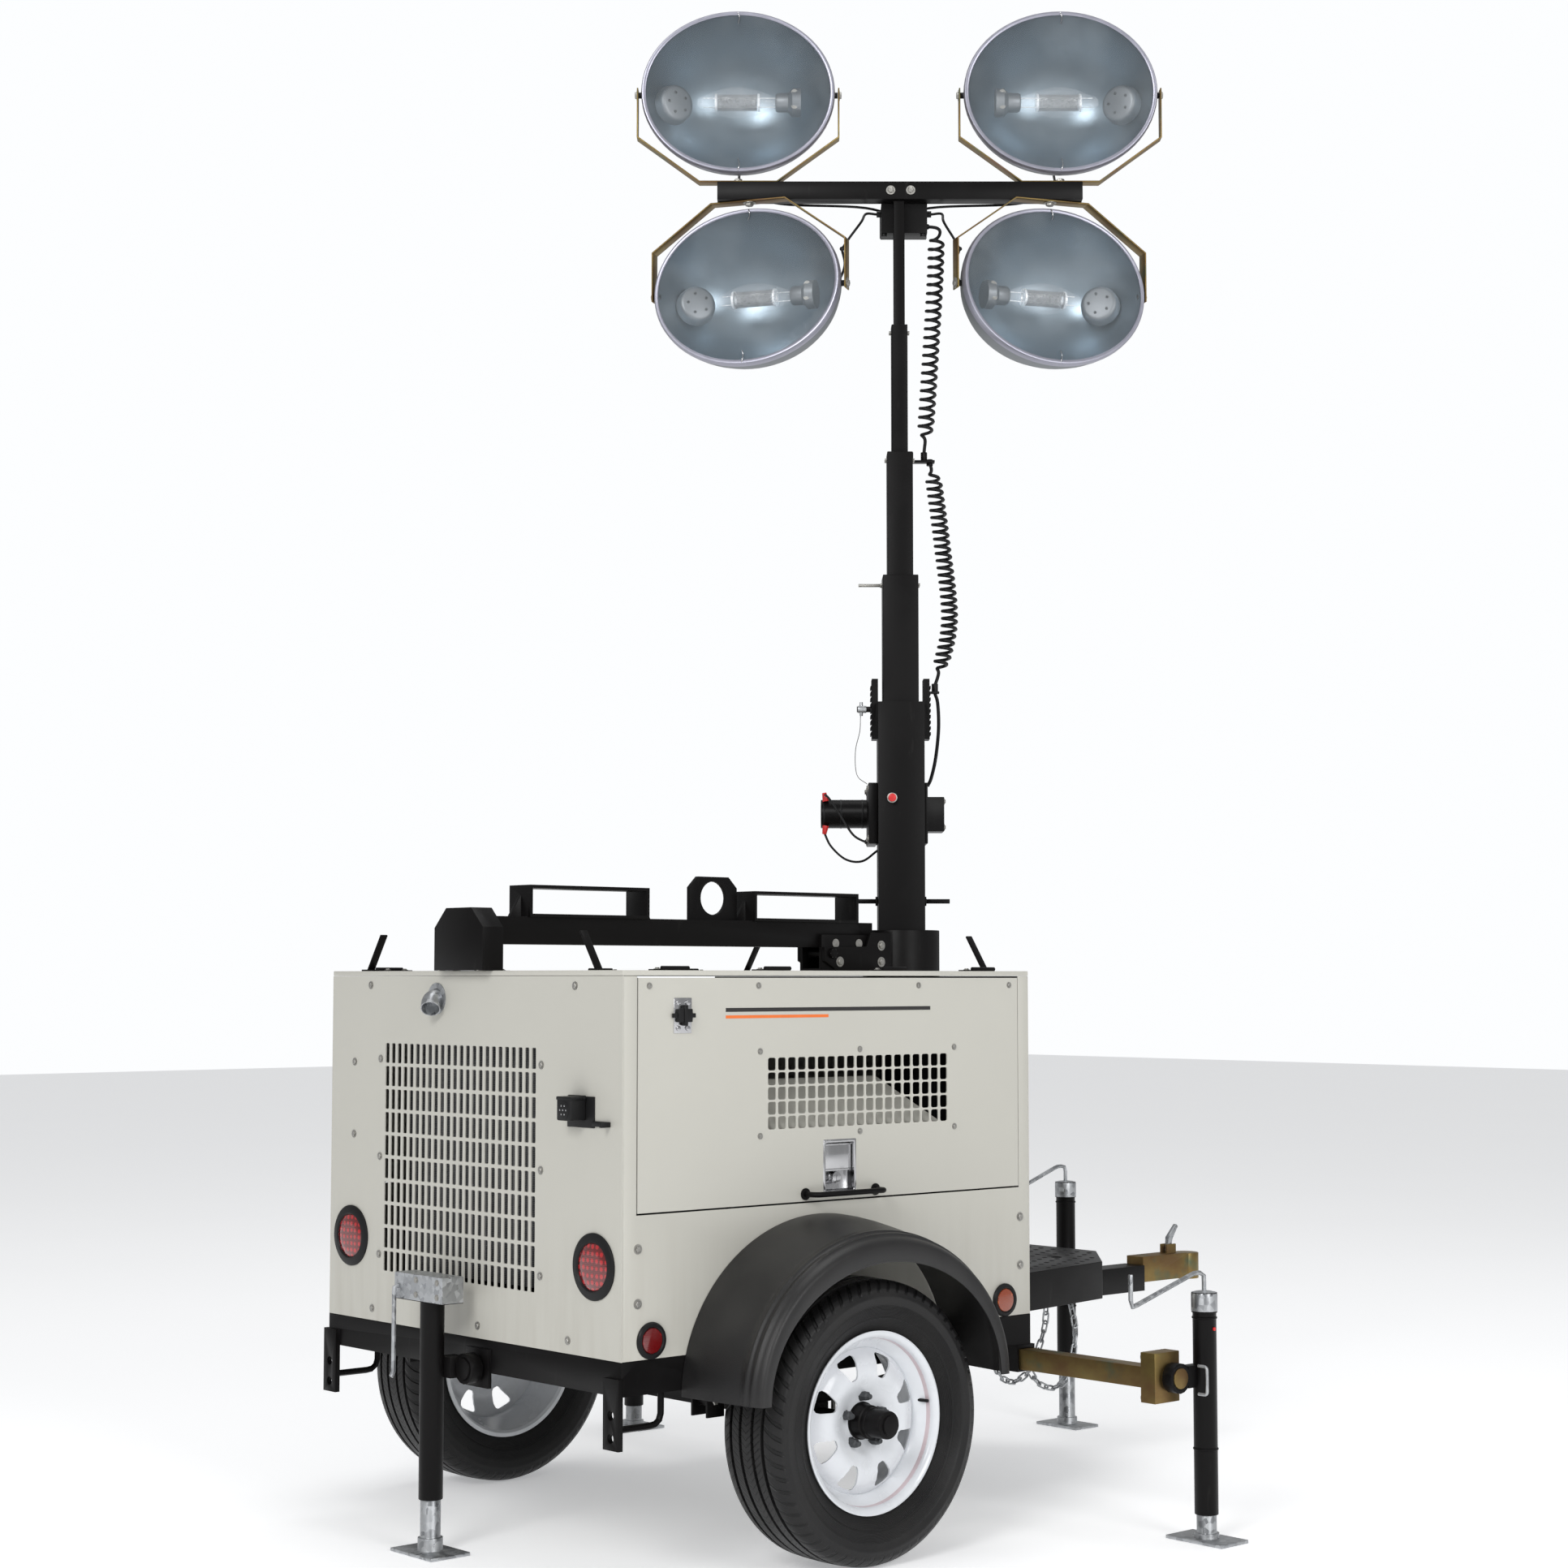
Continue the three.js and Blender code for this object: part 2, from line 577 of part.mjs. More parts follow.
function liftFrame() {
  const { half, bottom, top, from, to } = LIFT_BEAM;
  const foot = CABINET.top + GAP;
  const cradle = prism('x', [-30, 30],
    [[-100, foot], [100, foot], [100, 1460], [52, 1507], [-52, 1507], [-100, 1460]]);
  const hollow = block([-22, 31], [-92, 92], [foot - 1, 1450]);
  const parts = [cut(cradle, hollow), block([from - 25, to], [-half, half], [bottom, top])];
  for (const [rear, front] of FORK_POCKETS) parts.push(forkPocket(rear, front), gusset(rear, -1),
    gusset(front, 1));
  return join(...parts, liftingEye());
}

function forkPocket(rear, front) {
  const { half, top, strap } = POCKET;
  const floor = LIFT_BEAM.top - 1;
  return cut(
    block([rear, front], [-half, half], [floor, top]),
    block([rear + strap, front - strap], [-half - 1, half + 1], [floor + strap, top - strap]));
}

function gusset(x, direction) {
  const foot = LIFT_BEAM.top - 1;
  return prism('y', [-5, 5], [[x - direction, foot], [x + direction * 34, foot],
    [x - direction, POCKET.top - 22]]);
}

function liftingEye() {
  const { from, to, top, holeZ, hole, half } = EYE;
  const chamfer = 28;
  const foot = LIFT_BEAM.top - 1;
  const plate = prism('y', [-half, half], [[from, foot], [to, foot], [to, top - chamfer],
    [to - chamfer, top], [from + chamfer, top], [from, top - chamfer]]);
  const middle = (from + to) / 2;
  return cut(plate, rod([middle, -half - 1, holeZ], [middle, half + 1, holeZ], hole, 28));
}

function mastBracket() {
  const foot = CABINET.top + GAP;
  const base = block([1105, 1290], [-43, 43], [foot, foot + 8]);
  const inner = LIFT_BEAM.half + GAP;
  const cheeks = SIDES.map(([, side]) => block([1105, 1290], [side * inner, side * 43], [foot, 1455]));
  const { x, z, pin } = FOLD_PIVOT;
  return join(base, ...cheeks, rod([x, -62, z], [x, 62, z], pin, 20));
}

function mastSleeve() {
  const { outer, bore, bottom, top } = SLEEVE;
  const tube = rod([MAST.x, 0, bottom], [MAST.x, 0, top], outer, 32);
  const arm = [[1105, 1385], [1150, 1362], [1356, 1362], [1356, 1462], [1275, 1462],
    [1260, 1424], [1105, 1422]];
  const arms = SIDES.map(([, side]) => prism('y', [side * 44.3, side * 54.3], arm));
  const { x, z, pin } = FOLD_PIVOT;
  const opening = rod([MAST.x, 0, bottom - 1], [MAST.x, 0, top + 1], bore, 32);
  return cut(join(tube, ...arms), opening, rod([x, -70, z], [x, 70, z], pin + 0.5, 20));
}

// ---------------------------------------------------------------- mast, in the turned mast group

function mastSection(index) {
  const { size, bottom, top, wall } = MAST_SECTIONS[index];
  const tube = squareTube(size, bottom, top, wall);
  if (index === MAST_SECTIONS.length - 1) return tube;
  const bore = MAST_SECTIONS[index + 1].size / 2 + 1;
  const collar = squareTube(size, top - 24, top, size / 2 - bore);
  const parts = [tube, collar];
  if (index === 0) parts.push(...baseSectionFittings());
  return join(...parts);
}

function baseSectionFittings() {
  const side = MAST_SECTIONS[0].size / 2;
  const guides = [1, -1].map(
    (end) => block([end * (side - 1), end * (side + 16)], [-30, 30], [1995, 2162]));
  const handle = cut(rod([-123, 0, 1550], [134, 0, 1550], 6, 12),
    block([-side + 3, side - 3], [-10, 10], [1540, 1560]));
  const pin = rod([-side - 15, 0, 2080], [-120, 0, 2080], 8, 12);
  return [...guides, pin, ...handle.decompose()];
}

function winchBody() {
  const { y, z, motor } = WINCH;
  const face = MAST_SECTIONS[0].size / 2 + GAP;
  return join(
    block([-89, -face], [-20, 175], [1708, 1876]),
    block([face, 74], [-20, 175], [1708, 1876]),
    block([-80, 72], [face, face + 8], [1708, 1735]),
    block([-80, 72], [face, face + 8], [1849, 1876]),
    block([73, 124], [60, 160], [1746, 1842]),
    rod([-218, y, z], [-88, y, z], motor, 24));
}

function winchDrum() {
  const { y, z, drum, flange } = WINCH;
  return join(
    rod([-58, y, z], [58, y, z], drum, 20),
    rod([-60, y, z], [-55, y, z], flange, 24),
    rod([55, y, z], [60, y, z], flange, 24));
}

function lightBar() {
  const { from, to, half, bottom, top, wall } = LIGHT_BAR;
  const tube = cut(
    block([from, to], [-half, half], [bottom, top]),
    block([from - 1, to + 1], [wall - half, half - wall], [bottom + wall, top - wall]));
  return join(tube, block([-48, 81], [MAST_SECTIONS[3].size / 2 + 1.5, 94], [3427, bottom + 1]));
}

function coilCord(points) {
  const path = new THREE.CatmullRomCurve3(points.map((point) => new THREE.Vector3(...point)));
  return sweep(path, COIL_RADIUS, 10, 8);
}

// A flat strap bent into a cup, with its middle on the light bar and its ends at the trunnions.
function yoke() {
  const { plate, half, slantRise, rise, strap, width } = YOKE;
  const end = rise + 16;
  const outer = [[plate, 0], [half, slantRise], [half, end]];
  const inner = [[half - strap, end], [half - strap, slantRise + 2], [plate - 1, strap]];
  const right = [...outer, ...inner];
  const left = right.map(([x, z]) => [-x, z]).reverse();
  return prism('y', [-width / 2, width / 2], [...right, ...left]);
}

// The lamp body is a deep oval bowl closed by its lens, with the wiring hole at the back.
function lampHead() {
  const { half, halfHeight, front, back, wall, trunnion } = LAMP;
  const bowl = (inset) => {
    const rim = front - inset - 18;
    const profile = [[0, front - inset], [1, front - inset]];
    for (const angle of [0, 25, 48, 70, 90].map(THREE.MathUtils.degToRad)) {
      profile.push([Math.cos(angle) ** 0.8, rim - (rim + back - inset) * Math.sin(angle) ** 1.3]);
    }
    profile[profile.length - 1][0] = 0;
    return turned(profile, 20).scale([half - inset, halfHeight - inset, 1]).rotate([90, 0, 0]);
  };
  const shell = cut(bowl(0), bowl(wall), rod([0, back - 20, 0], [0, back + 5, 0], 14, 8));
  const pins = [1, -1].map((side) => cut(
    rod([side * (half - 30), 0, 0], [side * (YOKE.half - YOKE.strap - GAP), 0, 0], trunnion, 8),
    bowl(wall)));
  return join(shell, ...pins);
}

// ---------------------------------------------------------------- jacks

// Every jack is a tube with a crank head, a ram that slides in it, and a crank.
function jackTube(jack, head, bracket) {
  const { x, y, bottom, top } = jack;
  const tube = rod([x, y, bottom], [x, y, top + 1], JACK.radius, 20);
  const bore = rod([x, y, bottom - 1], [x, y, top - 4], JACK.bore, 20);
  return cut(join(tube, head, bracket), bore);
}

function jackRam(jack, footTop, [footX, footY], inside) {
  const { x, y } = jack;
  const plate = block([x - footX / 2, x + footX / 2], [y - footY / 2, y + footY / 2], [0, 8]);
  const socket = rod([x, y, 6], [x, y, footTop], JACK.ram + 6, 16);
  return join(plate, socket, rod([x, y, 6], [x, y, inside], JACK.ram, 20));
}

function topHead({ x, y, top, headTop }) {
  return rod([x, y, top], [x, y, headTop], JACK.head, 20);
}

function topCrank({ x, y, headTop }, reach, drop, grip) {
  const start = headTop + GAP;
  const corners = [[x, y, start], [x, y, start + 46], [x - 34, y, start + 48],
    [x - reach, y, start - drop], [x - reach, y, start - drop + grip]];
  return bentRod(corners, 6, 12, 20);
}

function sideJackBracket(side) {
  const { pivotX, pivotZ, x, y } = SIDE_JACK;
  const [near, far] = [side * (y - 33), side * (y - 5)];
  const ring = rod([pivotX, near, pivotZ], [pivotX, far, pivotZ], JACK.ring, 16);
  const bore = rod([pivotX, near - side, pivotZ], [pivotX, far + side, pivotZ], JACK.ringBore, 16);
  const web = block([pivotX + 30, x], [near, far], [pivotZ - 26, pivotZ + 26]);
  return cut(join(ring, web), bore);
}

function rearJackBracket() {
  const { pivotY, pivotZ, y } = REAR_JACK;
  const ring = rod([-46, pivotY, pivotZ], [-16, pivotY, pivotZ], JACK.ring, 16);
  const bore = rod([-47, pivotY, pivotZ], [-7, pivotY, pivotZ], JACK.ringBore, 16);
  const web = block([-62, -16], [pivotY + 30, y], [pivotZ - 24, pivotZ + 24]);
  return cut(join(ring, web), bore);
}

function tongueJackBracket() {
  const { pivotX, pivotZ, x, y } = TONGUE_JACK;
  const ring = rod([pivotX, y - 35, pivotZ], [pivotX, y - 6, pivotZ], JACK.ring, 16);
  const bore = rod([pivotX, y - 36, pivotZ], [pivotX, y, pivotZ], JACK.ringBore, 16);
  const web = block([pivotX + 30, x], [y - 35, y - 6], [pivotZ - 26, pivotZ + 26]);
  return cut(join(ring, web), bore);
}

function outriggerBeam(side) {
  const { x, z, beam, from, to } = OUTRIGGER;
  const wall = 4;
  const tube = cut(
    block([x - beam, x + beam], [side * from, side * to], [z - beam, z + beam]),
    block([x - beam + wall, x + beam - wall], [side * (from - 1), side * (to - wall)],
      [z - beam + wall, z + beam - wall]));
  const { pivotX, pivotZ, y } = SIDE_JACK;
  const plate = block([x - 40, x + 50], [side * 1010, side * 1055], [329, 448]);
  const stub = rod([pivotX, side * 1050, pivotZ], [pivotX, side * (y - 2), pivotZ], JACK.stub, 16);
  return join(tube, plate, stub);
}

function rearJackHead() {
  const { x, top, headTop } = REAR_JACK;
  return block([x - 30, x + 30], [-63, 135], [top, headTop]);
}

function rearCrank() {
  const { x, top, headTop } = REAR_JACK;
  const axisZ = (top + headTop) / 2;
  const back = x - 30 - GAP;
  const arm = back - 12;
  const corners = [[back, 118, axisZ], [arm, 118, axisZ], [arm, 118, axisZ - 205],
    [arm - 6, 118, axisZ - 212]];
  return bentRod(corners, 6, 8, 18);
}

// ---------------------------------------------------------------- assembly

function addTrailer() {
  piece(trailer, 'chassis_frame', BLACK_COAT, chassisFrame());
  piece(trailer, 'tongue_beam', BLACK_COAT, tongueBeam());
  piece(trailer, 'tongue_deck', BLACK_COAT, tongueDeck());
  piece(trailer, 'coupler', ZINC_YELLOW, coupler());
  piece(trailer, 'coupler_latch', GALVANISED, couplerLatch());
  piece(trailer, 'axle_assembly', BLACK_COAT, axleAssembly());
  for (const [name, side] of SIDES) {
    piece(trailer, `fender_${name}`, BLACK_PLASTIC, fender(side));
    const wheel = group(trailer, AXLE.x, side * TYRE.y, AXLE.z);
    piece(wheel, `wheel_rim_${name}`, RIM_WHITE, wheelSolid(wheelRim(), side));
    piece(wheel, `tyre_${name}`, RUBBER, wheelSolid(tyre(), side));
    piece(trailer, `outrigger_beam_${name}`, ZINC_YELLOW, outriggerBeam(side));
  }
}

function addCabinet() {
  piece(trailer, 'cabinet_shell', CABINET_GREY, cabinetShell());
  piece(trailer, 'rear_panel', CABINET_GREY, rearPanel());
  piece(trailer, 'roof_panel', CABINET_GREY, roofPanel());
  for (const [name, side] of SIDES) {
    piece(trailer, `door_${name}`, CABINET_GREY, door(side));
    piece(trailer, `latch_${name}`, CHROME, paddleLatch(side));
  }
  piece(trailer, 'radiator', CAST_IRON, radiator());
  piece(trailer, 'engine_block', CAST_IRON, engineBlock());
  piece(trailer, 'alternator', CAST_IRON, alternator());
  piece(trailer, 'fuel_tank', BLACK_PLASTIC, fuelTank());
  piece(trailer, 'muffler', GALVANISED, muffler());
  piece(trailer, 'control_panel', CABINET_GREY, controlPanel());
}

function addJacks() {
  for (const [name, side] of SIDES) {
    const jack = { ...SIDE_JACK, y: side * SIDE_JACK.y };
    const tube = jackTube(jack, topHead(jack), sideJackBracket(side));
    piece(trailer, `${name}_jack_tube`, BLACK_COAT, tube);
    piece(trailer, `${name}_jack_ram`, GALVANISED, jackRam(jack, 20, [100, 170], 330));
    piece(trailer, `${name}_jack_crank`, GALVANISED, topCrank(jack, 267, 18, 78));
  }
  const rearTube = jackTube(REAR_JACK, rearJackHead(), rearJackBracket());
  piece(trailer, 'rear_jack_tube', BLACK_COAT, rearTube);
  piece(trailer, 'rear_jack_ram', GALVANISED, jackRam(REAR_JACK, 38, [110, 170], 400));
  piece(trailer, 'rear_jack_crank', GALVANISED, rearCrank());
  const tongueTube = jackTube(TONGUE_JACK, topHead(TONGUE_JACK), tongueJackBracket());
  piece(trailer, 'tongue_jack_tube', BLACK_COAT, tongueTube);
  piece(trailer, 'tongue_jack_ram', GALVANISED, jackRam(TONGUE_JACK, 27, [100, 160], 430));
  piece(trailer, 'tongue_jack_crank', GALVANISED, topCrank(TONGUE_JACK, 200, 10, 60));
}

function addMast() {
  piece(trailer, 'lift_frame', BLACK_COAT, liftFrame());
  piece(trailer, 'mast_bracket', BLACK_COAT, mastBracket());
  piece(trailer, 'mast_sleeve', BLACK_COAT, mastSleeve());
  const mast = group(trailer, MAST.x, 0, 0);
  mast.rotation.z = THREE.MathUtils.degToRad(MAST.heading);
  MAST_SECTIONS.forEach((_, i) => piece(mast, `mast_section_${i + 1}`, BLACK_COAT, mastSection(i)));
  piece(mast, 'winch_body', BLACK_COAT, winchBody());
  piece(mast, 'winch_drum', GALVANISED, winchDrum());
  piece(mast, 'light_bar', BLACK_COAT, lightBar());
  piece(mast, 'coil_cord_upper', RUBBER, coilCord(UPPER_COIL));
  piece(mast, 'coil_cord_lower', RUBBER, coilCord(LOWER_COIL));
  for (const lamp of LAMPS) addLamp(mast, lamp);
}

function addLamp(mast, { name, along, up, yaw, pitch }) {
  const seat = up > 0 ? LIGHT_BAR.top + GAP : LIGHT_BAR.bottom - GAP;
  const swivel = group(mast, along, 0, seat);
  swivel.rotation.z = THREE.MathUtils.degToRad(yaw);
  const strap = up > 0 ? yoke() : yoke().rotate([180, 0, 0]);
  piece(swivel, `yoke_${name}`, ZINC_YELLOW, strap);
  const tilt = group(swivel, 0, 0, up * YOKE.rise);
  tilt.rotation.x = THREE.MathUtils.degToRad(pitch);
  piece(tilt, `lamp_${name}`, REFLECTOR, lampHead());
}

addTrailer();
addCabinet();
addJacks();
addMast();

export default trailer;
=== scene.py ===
"""A towable light tower with a diesel generator cabinet, built piece by piece."""

import json
import math

import bpy
from mathutils import Matrix, Vector


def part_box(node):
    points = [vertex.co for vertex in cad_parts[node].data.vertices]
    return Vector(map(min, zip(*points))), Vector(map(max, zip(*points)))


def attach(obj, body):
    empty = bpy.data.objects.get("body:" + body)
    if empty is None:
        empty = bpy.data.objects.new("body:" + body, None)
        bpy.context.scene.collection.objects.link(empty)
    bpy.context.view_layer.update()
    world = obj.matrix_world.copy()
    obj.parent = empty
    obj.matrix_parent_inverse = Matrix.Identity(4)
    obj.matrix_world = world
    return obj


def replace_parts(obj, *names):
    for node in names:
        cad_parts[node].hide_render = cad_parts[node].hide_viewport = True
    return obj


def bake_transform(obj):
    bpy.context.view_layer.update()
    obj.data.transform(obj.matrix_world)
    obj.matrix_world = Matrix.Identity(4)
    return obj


bl_info = {
    "name": "Towable Light Tower",
    "version": (1, 0, 0),
    "blender": (4, 5, 0),
    "location": "View3D > Sidebar > Light Tower",
    "description": "Makes a towable light tower with a diesel generator cabinet, piece by piece",
    "category": "Add Mesh",
}

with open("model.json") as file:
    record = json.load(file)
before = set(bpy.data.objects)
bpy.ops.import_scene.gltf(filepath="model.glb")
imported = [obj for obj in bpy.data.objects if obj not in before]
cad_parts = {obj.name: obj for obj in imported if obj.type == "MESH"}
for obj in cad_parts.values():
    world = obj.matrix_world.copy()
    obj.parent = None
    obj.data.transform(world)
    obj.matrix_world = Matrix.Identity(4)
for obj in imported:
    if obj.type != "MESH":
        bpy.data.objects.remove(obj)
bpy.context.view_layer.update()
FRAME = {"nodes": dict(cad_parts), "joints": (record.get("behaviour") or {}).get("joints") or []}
JOINTS = {joint["name"]: joint for joint in FRAME["joints"]}

# Places are given in metres from the cabinet's rear face, the centre line and the ground.
REAR_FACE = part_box("rear_panel")[0].x
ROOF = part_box("roof_panel")[1].z
SIDE_FACE = 0.595
AXLE = 0.589
DRUM_BACK, DRUM_HEIGHT = 0.125, 1.798
HINGE_PLACES = (0.16, 0.47, 0.85, 1.16)
DECK_HOLES = [(x, y) for x in (1.42, 1.56, 1.70, 1.84) for y in (-0.2, 0, 0.2)]
BOWL_HALF, BOWL_HIGH = 0.271, 0.231
SIDES = (("left", 1), ("right", -1))
LAMP_NAMES = ("upper_left", "upper_right", "lower_left", "lower_right")
X_AXIS, Y_AXIS, Z_AXIS = Vector((1, 0, 0)), Vector((0, 1, 0)), Vector((0, 0, 1))


def at(x, y, z):
    return Vector((x + REAR_FACE, y, z))


def pivot(joint):
    return Vector(JOINTS[joint]["pos_m"])


def axis(joint):
    return Vector(JOINTS[joint]["axis"])


MAST_AXIS = pivot("mast_rotate")
BAR_WAY = axis("winch_drum_turn").normalized()
BACK_WAY = Z_AXIS.cross(BAR_WAY)
MAST_MATRIX = (
    Matrix.Translation((MAST_AXIS.x, MAST_AXIS.y, 0))
    @ Matrix.Rotation(math.atan2(BAR_WAY.y, BAR_WAY.x), 4, "Z")
)


def on_mast(along, back, z):
    """A point beside the mast: along the light bar, behind it, and its height."""
    return MAST_MATRIX @ Vector((along, back, z))


# ------------------------------------------------------------------ sizes and colours


def colour_setting(name, description, default):
    return bpy.props.FloatVectorProperty(name=name, description=description, subtype="COLOR",
                                         size=3, min=0, max=1, default=default)


def count_setting(name, description, default, fewest):
    return bpy.props.IntProperty(name=name, description=description, default=default, min=fewest)


def length_setting(name, description, default):
    return bpy.props.FloatProperty(name=name, description=description, subtype="DISTANCE",
                                   unit="LENGTH", default=default)


def angle_setting(name, description, degrees):
    return bpy.props.FloatProperty(name=name, description=description, subtype="ANGLE",
                                   default=math.radians(degrees))


class CabinetSettings(bpy.types.PropertyGroup):
    """Sizes and colours of the cabinet"""

    paint: colour_setting(
        "Cabinet paint", "Colour of the sheet steel", (0.52, 0.51, 0.46))
    rear_columns: count_setting("Rear grille columns", "Slots across the rear grille", 24, 4)
    rear_rows: count_setting("Rear grille rows", "Slots down the rear grille", 10, 2)
    door_columns: count_setting("Door grille columns", "Slots along a door grille", 19, 4)
    door_rows: count_setting("Door grille rows", "Slots down a door grille", 5, 2)
    bolt_radius: length_setting(
        "Bolt radius", "Across the flats of a panel bolt, halved", 0.0065)


class RunningGearSettings(bpy.types.PropertyGroup):
    """Sizes and colours of the wheels, fenders and chassis"""

    coat: colour_setting(
        "Frame coat", "Colour of the powder coat", (0.0045, 0.0041, 0.0042))
    rim_paint: colour_setting(
        "Rim paint", "Colour of the wheel rims", (0.70, 0.72, 0.75))
    stripe: colour_setting(
        "Rim stripe", "Colour of the thin line round each rim", (0.42, 0.03, 0.04))
    lugs: count_setting("Lug nuts", "Nuts that hold a wheel", 5, 3)
    lug_circle: length_setting(
        "Lug circle", "Diameter of the circle of lug nuts", 0.1143)
    windows: count_setting("Rim windows", "Openings in a rim's disc", 8, 4)
    sipes: count_setting("Tread blocks", "Tread blocks round a tyre", 64, 16)


class LightSettings(bpy.types.PropertyGroup):
    """Sizes and colours of the floodlights and their cords"""

    reflector: colour_setting(
        "Reflector", "Colour of the satin reflector", (0.235, 0.290, 0.335))
    band: colour_setting(
        "Lens band", "Colour of the band that clamps the lens", (0.33, 0.33, 0.39))
    wire: length_setting(
        "Coil cord", "Diameter of the coiled cord", 0.0095)
    coil: length_setting(
        "Coil radius", "From the middle of a coil to the middle of its cord", 0.0198)
    upper_turns: count_setting("Upper turns", "Turns of the upper coiled cord", 23, 4)
    lower_turns: count_setting("Lower turns", "Turns of the lower coiled cord", 28, 4)


class StageSettings(bpy.types.PropertyGroup):
    """The floor, the lights and the camera"""

    floor: colour_setting(
        "Floor", "Colour of the floor", (0.90, 0.90, 0.90))
    lens: bpy.props.FloatProperty(
        name="Lens", description="Focal length on a 36 mm sensor, in millimetres", default=61.4)
    heading: angle_setting(
        "Heading", "Way the camera looks, counter-clockwise from +X", 48.278)
    rise: angle_setting(
        "Rise", "How far the camera looks up", 4.164)


# ------------------------------------------------------------------ modelling helpers


def select_only(*pieces):
    bpy.ops.object.select_all(action="DESELECT")
    for piece in pieces:
        piece.select_set(True)
    bpy.context.view_layer.objects.active = pieces[0]


def settle(piece):
    """Moves a piece's place, turn and scale into its mesh."""
    select_only(piece)
    bpy.ops.object.transform_apply(location=True, rotation=True, scale=True)
    return piece


def modify(piece, kind, **settings):
    select_only(piece)
    modifier = piece.modifiers.new(kind, kind)
    for setting, value in settings.items():
        setattr(modifier, setting, value)
    bpy.ops.object.modifier_apply(modifier=modifier.name)
    return piece


def bevel(piece, width, segments=2, angle=30):
    return modify(piece, "BEVEL", width=width, segments=segments, limit_method="ANGLE",
                  angle_limit=math.radians(angle), use_clamp_overlap=True)


def smooth(piece, angle=35):
    select_only(piece)
    bpy.ops.object.shade_smooth_by_angle(angle=math.radians(angle))
    return piece


def flat(piece):
    select_only(piece)
    bpy.ops.object.shade_flat()
    return piece


def clean(piece, merge=1e-5):
    """Merges doubled points and turns every face outwards."""
    select_only(piece)
    bpy.ops.object.mode_set(mode="EDIT")
    bpy.ops.mesh.select_all(action="SELECT")
    bpy.ops.mesh.remove_doubles(threshold=merge)
    bpy.ops.mesh.normals_make_consistent(inside=False)
    bpy.ops.object.mode_set(mode="OBJECT")
    return piece


def raw_piece(name, points, faces, edges=()):
    mesh = bpy.data.meshes.new(name)
    mesh.from_pydata([tuple(point) for point in points], list(edges), list(faces))
    piece = bpy.data.objects.new(name, mesh)
    bpy.context.scene.collection.objects.link(piece)
    return piece


def block(name, low, high, edge=0.001, segments=2):
    low, high = Vector(low), Vector(high)
    size = [abs(value) for value in high - low]
    bpy.ops.object.select_all(action="DESELECT")
    bpy.ops.mesh.primitive_cube_add(size=1, location=(low + high) / 2, scale=size)
    piece = bpy.context.object
    piece.name = name
    settle(piece)
    if edge:
        bevel(piece, edge, segments)
    return smooth(piece)


def rod(name, start, end, radius, edge=0.0008, sides=32, end_radius=None):
    start, end = Vector(start), Vector(end)
    turn = (end - start).to_track_quat("Z", "Y").to_euler()
    bpy.ops.object.select_all(action="DESELECT")
    bpy.ops.mesh.primitive_cone_add(
        vertices=sides, radius1=radius, radius2=radius if end_radius is None else end_radius,
        depth=(end - start).length, location=(start + end) / 2, rotation=turn)
    piece = bpy.context.object
    piece.name = name
    settle(piece)
    if edge:
        bevel(piece, edge)
    return smooth(piece)


def lathe(name, profile, steps=64, closed=False, place=None, angle=35):
    """A profile of (radius, height) points turned about Z, then put in its place."""
    count = len(profile)
    edges = [(i, i + 1) for i in range(count - 1)] + ([(count - 1, 0)] if closed else [])
    piece = raw_piece(name, [(r, 0, z) for r, z in profile], [], edges)
    modify(piece, "SCREW", axis="Z", steps=steps, render_steps=steps,
           use_merge_vertices=True, merge_threshold=1e-5)
    clean(piece)
    if place is not None:
        piece.data.transform(place)
    return smooth(piece, angle)


def turned(name, profile, steps=64, closed=False, place=None, angle=35):
    """A turned piece whose profile is given in millimetres."""
    return lathe(name, [(r / 1000, z / 1000) for r, z in profile], steps, closed, place, angle)


def pipe(name, points, radius, roundness=3):
    """A round bar or cord along a row of points."""
    curve = bpy.data.curves.new(name, "CURVE")
    curve.dimensions = "3D"
    curve.bevel_depth = radius
    curve.bevel_resolution = roundness
    curve.use_fill_caps = True
    spline = curve.splines.new("POLY")
    spline.points.add(len(points) - 1)
    for spot, point in zip(spline.points, points):
        spot.co = (*point, 1)
    piece = bpy.data.objects.new(name, curve)
    bpy.context.scene.collection.objects.link(piece)
    select_only(piece)
    bpy.ops.object.convert(target="MESH")
    piece = bpy.context.object
    clean(piece)
    return smooth(piece, 60)


def circle(radius, count, start=0.0):
    """Evenly spaced points round a circle, as pairs."""
    angles = [start + 2 * math.pi * k / count for k in range(count)]
    return [(radius * math.cos(angle), radius * math.sin(angle)) for angle in angles]


def laps(route):
    """How far along a route each of its points is."""
    lap = [0.0]
    for before, after in zip(route, route[1:]):
        lap.append(lap[-1] + (after - before).length)
    return lap


def skin_rings(name, rings, close_ends=(False, False)):
    """A surface through rings of equal count."""
    count = len(rings[0])
    points = [point for ring in rings for point in ring]
    faces = [(i * count + k, i * count + (k + 1) % count, (i + 1) * count + (k + 1) % count,
              (i + 1) * count + k) for i in range(len(rings) - 1) for k in range(count)]
    if close_ends[0]:
        faces.append(tuple(range(count))[::-1])
    if close_ends[1]:
        faces.append(tuple(range((len(rings) - 1) * count, len(rings) * count)))
    return raw_piece(name, points, faces)


